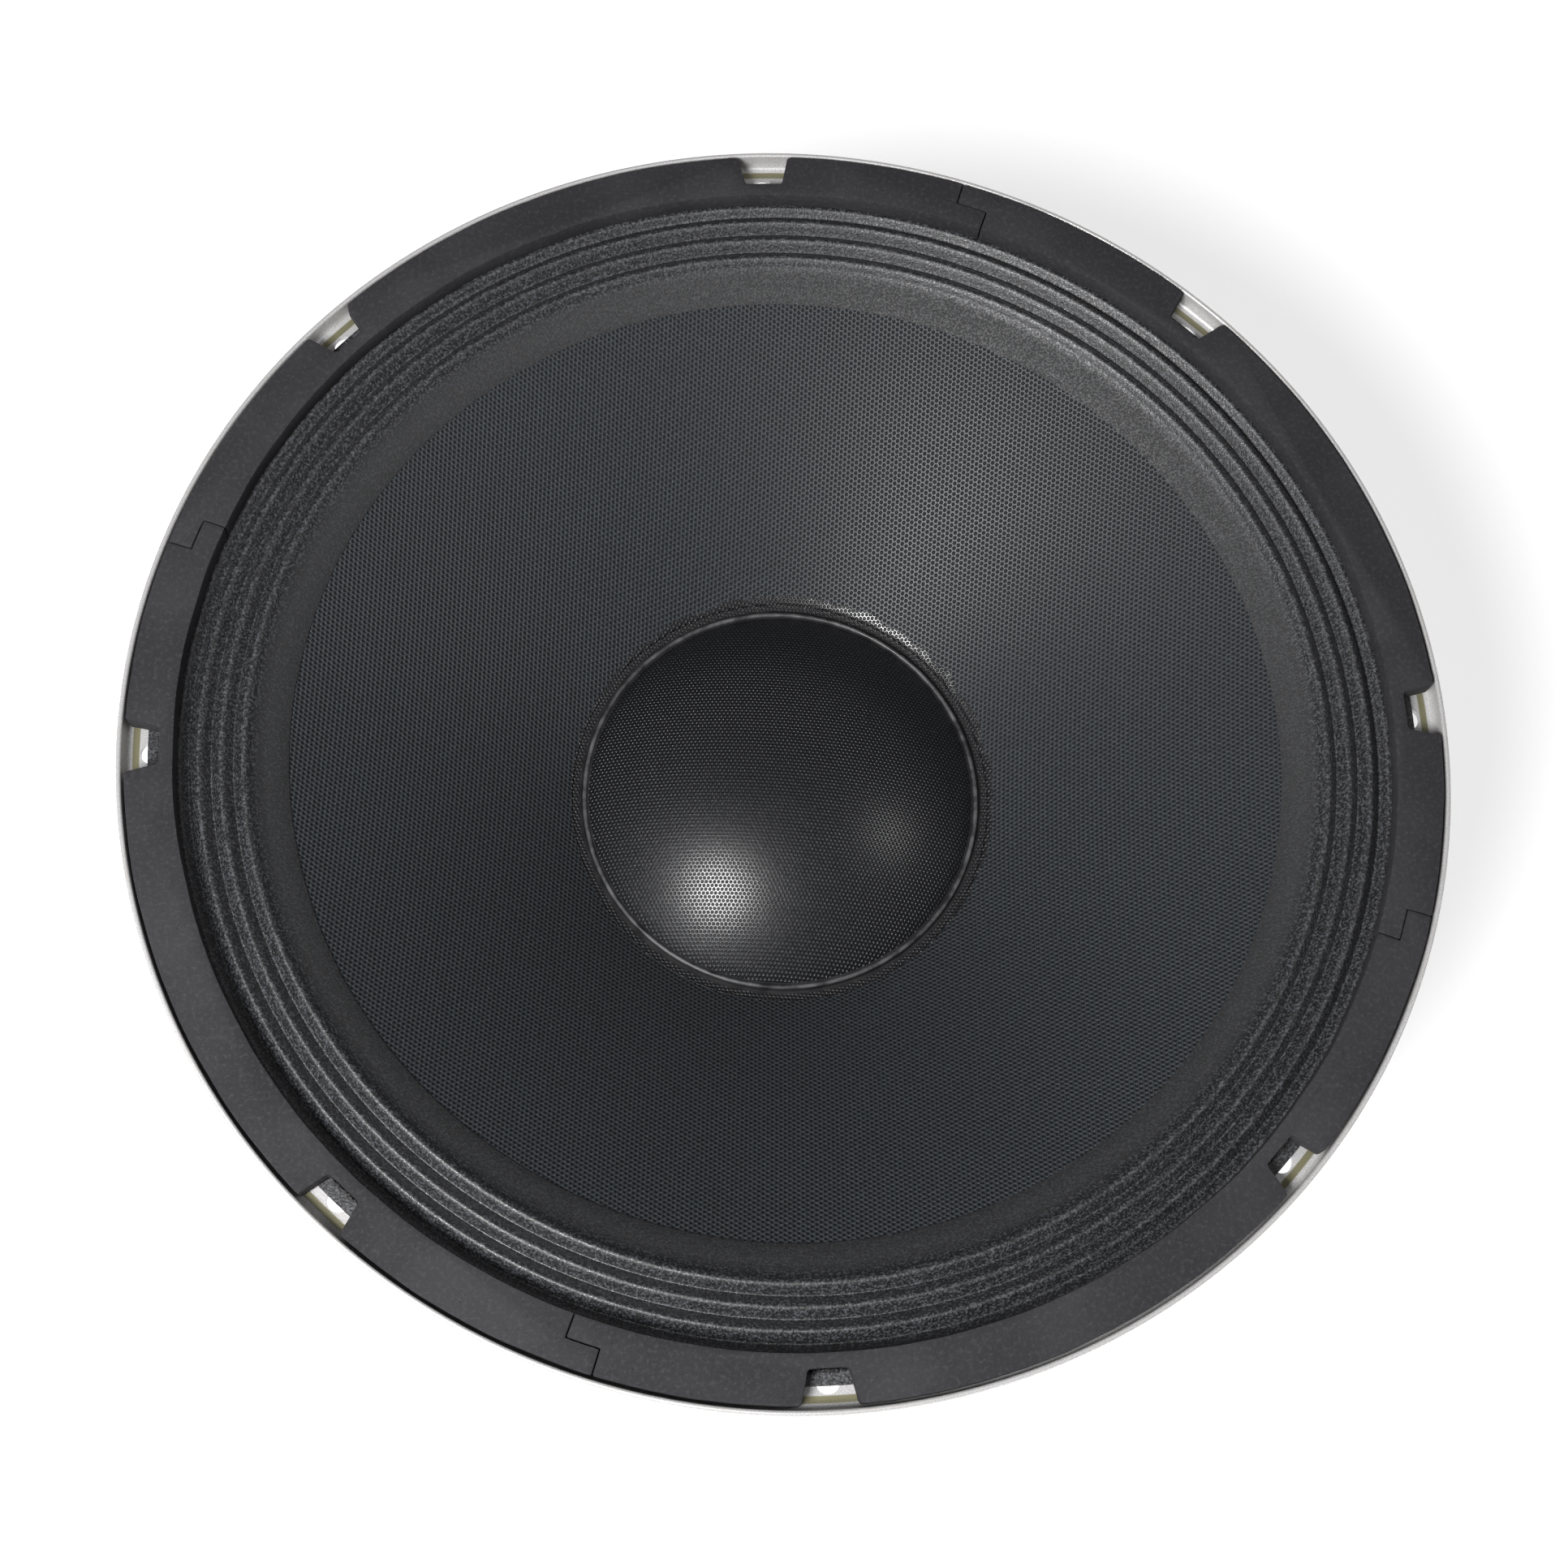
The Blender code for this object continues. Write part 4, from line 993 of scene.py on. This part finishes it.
def build_spider():
    flange = LEDGE + GAP + CLOTH
    low = LEDGE + GAP - 1.0 * MM
    high = low + 4.0 * MM
    middle = (low + high) / 2
    front = [(SPIDER_OUTER, flange), (84.0 * MM, flange), (80.5 * MM, flange)]
    outer = 79.4 * MM
    inner = 43.2 * MM
    for t in np.linspace(0.0, 1.0, SPIDER_WAVES * 14 + 1)[1:]:
        radius = outer + (inner - outer) * t
        swell = (high - low - CLOTH) / 2 * min(1.0, t * 14) * min(1.0, (1 - t) * 14 + 0.3)
        front.append((radius, middle + CLOTH / 2 + swell * math.sin(2 * math.pi * SPIDER_WAVES * t)))
    front += [(41.6 * MM, middle + 0.3 * MM), (40.2 * MM, middle + 0.8 * MM), (39.3 * MM, middle + 1.5 * MM)]
    rear = offset(front, CLOTH)
    rear[:, 1] = np.maximum(rear[:, 1], low)
    sector_ring("spider_cloth", front, rear, 16, 14, amber_cloth, "spider")


# --- Motor ------------------------------------------------------------------------------------------

def washer(name, node, bore_radius, outer_corner, inner_corner, material, slot):
    low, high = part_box(node)
    return turned(name, rounded([
        (bore_radius, high.z - 0.2 * MM, 0.0), (bore_radius, high.z, 0.0), (high.x, high.z, outer_corner),
        (high.x, low.z, outer_corner), (bore_radius, low.z, inner_corner),
        (bore_radius, high.z - 0.4 * MM, 0.0)]), ROOT, material, node, slot)


def build_motor():
    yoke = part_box("t_yoke")[1]
    turned("yoke_steel", rounded([
        (VENT, yoke.z, 0.0), (POLE, yoke.z, 1.0 * MM), (POLE, BACK_PLATE, 1.5 * MM),
        (yoke.x, BACK_PLATE, 1.0 * MM), (yoke.x, 0.0, 1.2 * MM), (SCREEN_SEAT[0], 0.0, 0.3 * MM),
        (*SCREEN_SEAT, 0.0), (VENT, SCREEN_SEAT[1], 0.4 * MM), (VENT, yoke.z - 0.2 * MM, 0.0)]),
        ROOT, zinc, "t_yoke", "motor_steel")
    washer("magnet_ring", "magnet", MAGNET_BORE, 1.5 * MM, 0.6 * MM, black_ferrite, "magnet")
    top = washer("top_plate_steel", "top_plate", TOP_PLATE_BORE, 0.8 * MM, 0.4 * MM, zinc, "motor_steel")
    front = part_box("top_plate")[1].z
    places = spread(SCREWS, SCREW_CIRCLE)
    bore(top, places, 3.0 * MM, front - 6.3 * MM, front + 2 * MM, 24)
    for number, (x, y) in enumerate(places, start=1):
        low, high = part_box(f"basket_screw_{number}")
        socket_screw(f"cap_screw_{number}", x, y, low.z, high.z, f"basket_screw_{number}")


def socket_screw(name, x, y, low, high, node):
    """A button-head screw with a hexagon socket and a threaded shank."""
    seat = CUP_FLOOR + GAP
    angles = around(48)

    def ring(radius, height):
        return ring_at(radius, height, angles, x, y)

    def hexagon(width, height):
        turn = (angles + math.pi / 6) % (math.pi / 3) - math.pi / 6
        return ring(width / np.cos(turn), height)

    rings = [ring(0.4 * MM, low), ring(2.2 * MM, low), ring(2.7 * MM, low + 0.6 * MM)]
    rings += [ring(2.7 * MM if i % 2 else 2.45 * MM, low + (0.8 + 0.4 * i) * MM) for i in range(18)]
    rings += [ring(radius * MM, seat + rise * MM) for radius, rise in (
        (2.7, -0.02), (5.2, 0.0), (5.4, 0.2), (5.4, 1.0), (5.2, 1.9), (4.6, 2.8))]
    rings += [ring(3.8 * MM, high - 0.25 * MM), ring(3.1 * MM, high)]
    rings += [hexagon(width * MM, high - drop * MM) for width, drop in ((2.1, 0.0), (2.0, 0.15), (2.0, 1.8))]
    rings += [ring(0.5 * MM, high - 2.3 * MM)]
    add_mesh(name, *loft(rings), ROOT, zinc, node, "screws", math.radians(30))


def build_vent_screen():
    """A round screen of thin steel with hexagonal rows of holes."""
    low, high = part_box("vent_screen")
    curve = bpy.data.curves.new("vent_screen", "CURVE")
    curve.dimensions = "2D"
    curve.fill_mode = "BOTH"
    curve.extrude = (high.z - low.z) / 2 - 0.08 * MM
    curve.bevel_depth = 0.08 * MM
    curve.bevel_resolution = 1
    outlines = [[polar(SCREEN_RADIUS, a) for a in np.linspace(0, 2 * math.pi, 97)[:-1]]]
    for row in range(-7, 8):
        for column in range(-8, 9):
            x = SCREEN_PITCH * (column + (row % 2) / 2)
            y = SCREEN_PITCH * row * math.sqrt(3) / 2
            if math.hypot(x, y) < 6 * SCREEN_PITCH:
                outlines.append([(x + SCREEN_HOLE * math.cos(a), y + SCREEN_HOLE * math.sin(a))
                                 for a in np.linspace(0, 2 * math.pi, 15)[:-1]])
    for outline in outlines:
        spline = curve.splines.new("POLY")
        spline.points.add(len(outline) - 1)
        for point, (x, y) in zip(spline.points, outline):
            point.co = (x, y, 0.0, 1.0)
        spline.use_cyclic_u = True
    item = link("vent_curve", curve)
    mesh = final_mesh(item)
    bpy.data.objects.remove(item, do_unlink=True)
    mesh.transform(Matrix.Translation((0.0, 0.0, (low.z + high.z) / 2)))
    shape = bmesh.new()
    shape.from_mesh(mesh)
    bmesh.ops.remove_doubles(shape, verts=shape.verts, dist=0.001 * MM)
    shape.to_mesh(mesh)
    shape.free()
    add_piece("vent_mesh", mesh, ROOT, zinc, "vent_screen")


# --- Terminals and leads ----------------------------------------------------------------------------

def soften(node, material, width):
    """A CAD node kept as it is, with softened edges and a finished material."""
    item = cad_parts[node]
    item.data.materials.clear()
    item.data.materials.append(material)
    bevel = item.modifiers.new("Soften", "BEVEL")
    bevel.width = width
    bevel.segments = 2
    bevel.limit_method = "ANGLE"
    bevel.angle_limit = math.radians(50)
    bevel.harden_normals = True


def cross_screw(name, node, y):
    """A pan-head screw with a cross recess, along the +Y spoke's normal."""
    angles = around(64)

    def ring(radius, height):
        return ring_at(radius, height, angles)

    def cross(width, reach, height):
        c, s = np.abs(np.cos(angles)) + 1e-9, np.abs(np.sin(angles)) + 1e-9
        radius = np.maximum(np.minimum(reach / c, width / s), np.minimum(reach / s, width / c))
        return ring(radius, height)

    rings = [ring(0.1 * MM, -8.6 * MM), ring(1.2 * MM, -7.9 * MM)]
    rings += [ring(1.4 * MM if i % 2 else 1.15 * MM, (-7.7 + 0.35 * i) * MM) for i in range(20)]
    rings += [ring(radius * MM, height * MM) for radius, height in (
        (1.4, 0.28), (3.05, 0.3), (3.2, 0.45), (3.2, 0.8), (3.0, 1.25), (2.5, 1.7), (1.95, 1.92))]
    rings += [cross(width * MM, reach * MM, height * MM) for width, reach, height in (
        (0.42, 1.5, 2.0), (0.36, 1.4, 1.9), (0.25, 0.7, 0.9))]
    verts, faces = loft(rings)
    place = Matrix.Translation((0.0, y, side_front(y))) @ Matrix.Rotation(SIDE_ANGLE, 4, "X")
    verts = [place @ Vector(v) for v in verts]
    add_mesh(name, verts, faces, ROOT, zinc, node, "screws", math.radians(30))


def build_button(colour, material):
    """A push button with rounded corners and grip ridges, its return spring and its solder lug."""
    node = f"terminal_button_{colour}"
    low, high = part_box(node)
    centre = (low + high) / 2
    half = BUTTON_HALF
    round_off = 0.9 * MM

    def square(width_x, width_y, height, corner):
        points = []
        for sx, sy, turn in ((1, 1, 0), (-1, 1, 1), (-1, -1, 2), (1, -1, 3)):
            for i in range(5):
                a = math.pi / 2 * (turn + i / 4)
                points.append((centre.x + sx * (width_x - corner) + corner * math.cos(a),
                               centre.y + sy * (width_y - corner) + corner * math.sin(a), height))
        return points

    rings = [square(half - 0.7 * MM, half - 0.7 * MM, low.z, round_off),
             square(half - 0.25 * MM, half - 0.25 * MM, low.z + 0.2 * MM, round_off),
             square(half, half, low.z + 0.7 * MM, round_off),
             square(half, half, BUTTON_FLANGE_LOW, round_off),
             square(BUTTON_FLANGE_HALF, half, BUTTON_FLANGE_LOW + 0.02 * MM, 0.4 * MM),
             square(BUTTON_FLANGE_HALF, half, high.z, 0.4 * MM)]
    button = add_mesh(f"push_button_{colour}", *loft(rings), f"button_{colour}", material, node, node)
    ridges = bmesh.new()
    for i in range(-2, 3):
        bmesh.ops.create_cube(ridges, size=1.0, matrix=Matrix.Translation(
            (centre.x, centre.y + i * 1.4 * MM, low.z)) @ Matrix.Diagonal(
                (6.2 * MM, 0.55 * MM, 0.7 * MM, 1.0)))
    subtract(button, ridges)

    low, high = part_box(f"button_spring_{colour}")
    count = SPRING_TURNS * 24
    coil = []
    for i in range(count + 1):
        x, y = polar(SPRING_RADIUS, 2 * math.pi * SPRING_TURNS * i / count)
        rise = SPRING_WIRE + (high.z - low.z - 2 * SPRING_WIRE) * i / count
        coil.append(Vector((centre.x + x, centre.y + y, low.z + rise)))
    sideways = (coil[1] - coil[0]).cross(Vector((0.0, 0.0, 1.0)))
    rings = [wire_ring(*place, SPRING_WIRE * 0.96, 10) for place in carry(coil, sideways)]
    spring = add_mesh(f"return_spring_{colour}", *loft(rings), None, tin, f"button_spring_{colour}",
                      "springs")
    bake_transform(spring)

    node = f"terminal_lug_{colour}"
    low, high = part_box(node)
    middle = (low.y + high.y) / 2
    width = (high.y - low.y) / 2
    outline = rounded([(middle, low.z, 0), (middle + width, low.z, 0.1 * MM),
                       (middle + width, high.z, 1.6 * MM), (middle - width, high.z, 1.6 * MM),
                       (middle - width, low.z, 0.1 * MM), (middle - 0.1 * MM, low.z, 0)])
    upright = Matrix(((0, 0, 1, 0), (1, 0, 0, 0), (0, 1, 0, 0), (0, 0, 0, 1)))
    prism(f"solder_lug_{colour}", outline, low.x, high.x, 0.08 * MM, tin, node, upright)


def smooth_route(points):
    """A smooth line through the points, in 24 steps from each to the next."""
    padded = [points[0] * 2 - points[1]] + points + [points[-1] * 2 - points[-2]]
    route = []
    for a, b, c, d in zip(padded, padded[1:], padded[2:], padded[3:]):
        for t in np.arange(24) / 24:
            route.append(0.5 * (2 * b + (c - a) * t + (2 * a - 5 * b + 4 * c - d) * t ** 2
                                + (3 * b - a - 3 * c + d) * t ** 3))
    return route + [points[-1]]


def build_lead(side, colour):
    """A lead of three braided strands from the solder lug to the coil's collar."""
    stops = [(16.2, 133.0, 89.0), (16.2, 124.0, 90.0), (15.8, 110.0, 88.5), (14.8, 94.0, 81.0),
             (13.4, 76.0, 70.5), (12.0, 59.0, 62.5), (10.6, 46.5, 58.8), (9.52, 38.18, 58.0)]
    route = smooth_route([Vector((side * x, y, z)) * MM for x, y, z in stops])
    strands = 3
    verts, faces = [], []
    for strand in range(strands):
        turn = 2 * math.pi * strand / strands
        rings = []
        last = route[0]
        for p, across, other in carry(route, Vector((1.0, 0.0, 0.0))):
            turn += (p - last).length * 2 * math.pi / (7.0 * MM)
            last = p
            centre = p + (across * math.cos(turn) + other * math.sin(turn)) * 0.52 * MM
            rings.append(wire_ring(centre, across, other, 0.56 * MM, 8))
        more, sides = loft(rings)
        start = len(verts)
        verts += more
        faces += [tuple(v + start for v in face) for face in sides]
    lead = add_mesh(f"braided_lead_{colour}", verts, faces, None, braid, f"tinsel_lead_{colour}",
                    "leads", math.radians(80))
    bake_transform(lead)


def build_terminals():
    soften("terminal_housing", black_plastic, 0.5 * MM)
    soften("terminal_faceplate", black_plastic, 0.35 * MM)
    for number, y in enumerate(TERMINAL_SCREWS_Y, start=1):
        cross_screw(f"housing_screw_{number}", f"terminal_screw_{number}", y)
    build_button("black", black_plastic)
    build_button("red", red_plastic)
    build_lead(-1, "black")
    build_lead(1, "red")


# --- Camera, light and floor ------------------------------------------------------------------------

def add_area(name, place, target, size, power):
    light = bpy.data.lights.new(name, "AREA")
    light.shape = "DISK"
    light.size = size
    light.energy = power
    item = link(name, light)
    item.location = place
    item.rotation_euler = (target - place).to_track_quat("-Z", "Y").to_euler()


def build_studio():
    world = bpy.data.worlds.new("studio")
    bpy.context.scene.world = world
    world.use_nodes = True
    background = world.node_tree.nodes["Background"]
    background.inputs["Color"].default_value = (1.0, 1.0, 1.0, 1.0)
    # The room looks as pale as the floor, but lights the driver only faintly.
    seen = world.node_tree.nodes.new("ShaderNodeLightPath").outputs["Is Camera Ray"]
    strength = world.node_tree.nodes.new("ShaderNodeMapRange")
    strength.inputs["To Min"].default_value = 0.13
    strength.inputs["To Max"].default_value = 0.8
    world.node_tree.links.new(seen, strength.inputs["Value"])
    world.node_tree.links.new(strength.outputs["Result"], background.inputs["Strength"])

    floor = bpy.data.meshes.new("floor")
    reach = 20.0
    floor.from_pydata([(-reach, -reach, 0), (reach, -reach, 0), (reach, reach, 0), (-reach, reach, 0)],
                      [], [(0, 1, 2, 3)])
    m = Nodes("floor_white", (0.85, 0.85, 0.85), 0.9, specular=0.1)
    m.shader.inputs["Emission Color"].default_value = (1.0, 1.0, 1.0, 1.0)
    m.shader.inputs["Emission Strength"].default_value = 0.62
    floor.materials.append(m.material)
    item = link("floor", floor)
    item.location = (0.0, 0.0, -0.2 * MM)

    centre = Vector((0.0, 0.0, FRONT))
    key = Vector((-0.43, -0.46, 0.78)) * 1.15
    add_area("key", centre + key, centre, 0.44, 17.5)
    add_area("fill", centre + Vector((0.72, -0.06, 0.69)) * 1.9, centre, 0.5, 3.0)
    bpy.context.scene.view_settings.view_transform = "Standard"

    lens = bpy.data.cameras.new("camera")
    lens.sensor_width = 36.0
    lens.lens = 55.357
    lens.clip_start = 0.01
    lens.clip_end = 50.0
    camera = link("camera", lens)
    forward = Vector((0.07297124, 0.31700151, -0.94561369))
    up = Vector((0.02896915, 0.94706763, 0.31972441))
    right = forward.cross(up).normalized()
    up = right.cross(forward).normalized()
    place = centre + Vector((-54.525, -237.828, 657.438)) * MM
    turn = Matrix((right, up, -forward)).transposed()
    camera.matrix_world = Matrix.Translation(place) @ turn.to_4x4()
    bpy.context.scene.camera = camera


build_basket()
build_gasket()
build_notch_glue()
build_edge()
build_cone()
build_cap()
build_cap_adhesive()
build_coil()
build_spider()
build_motor()
build_vent_screen()
build_terminals()
build_studio()
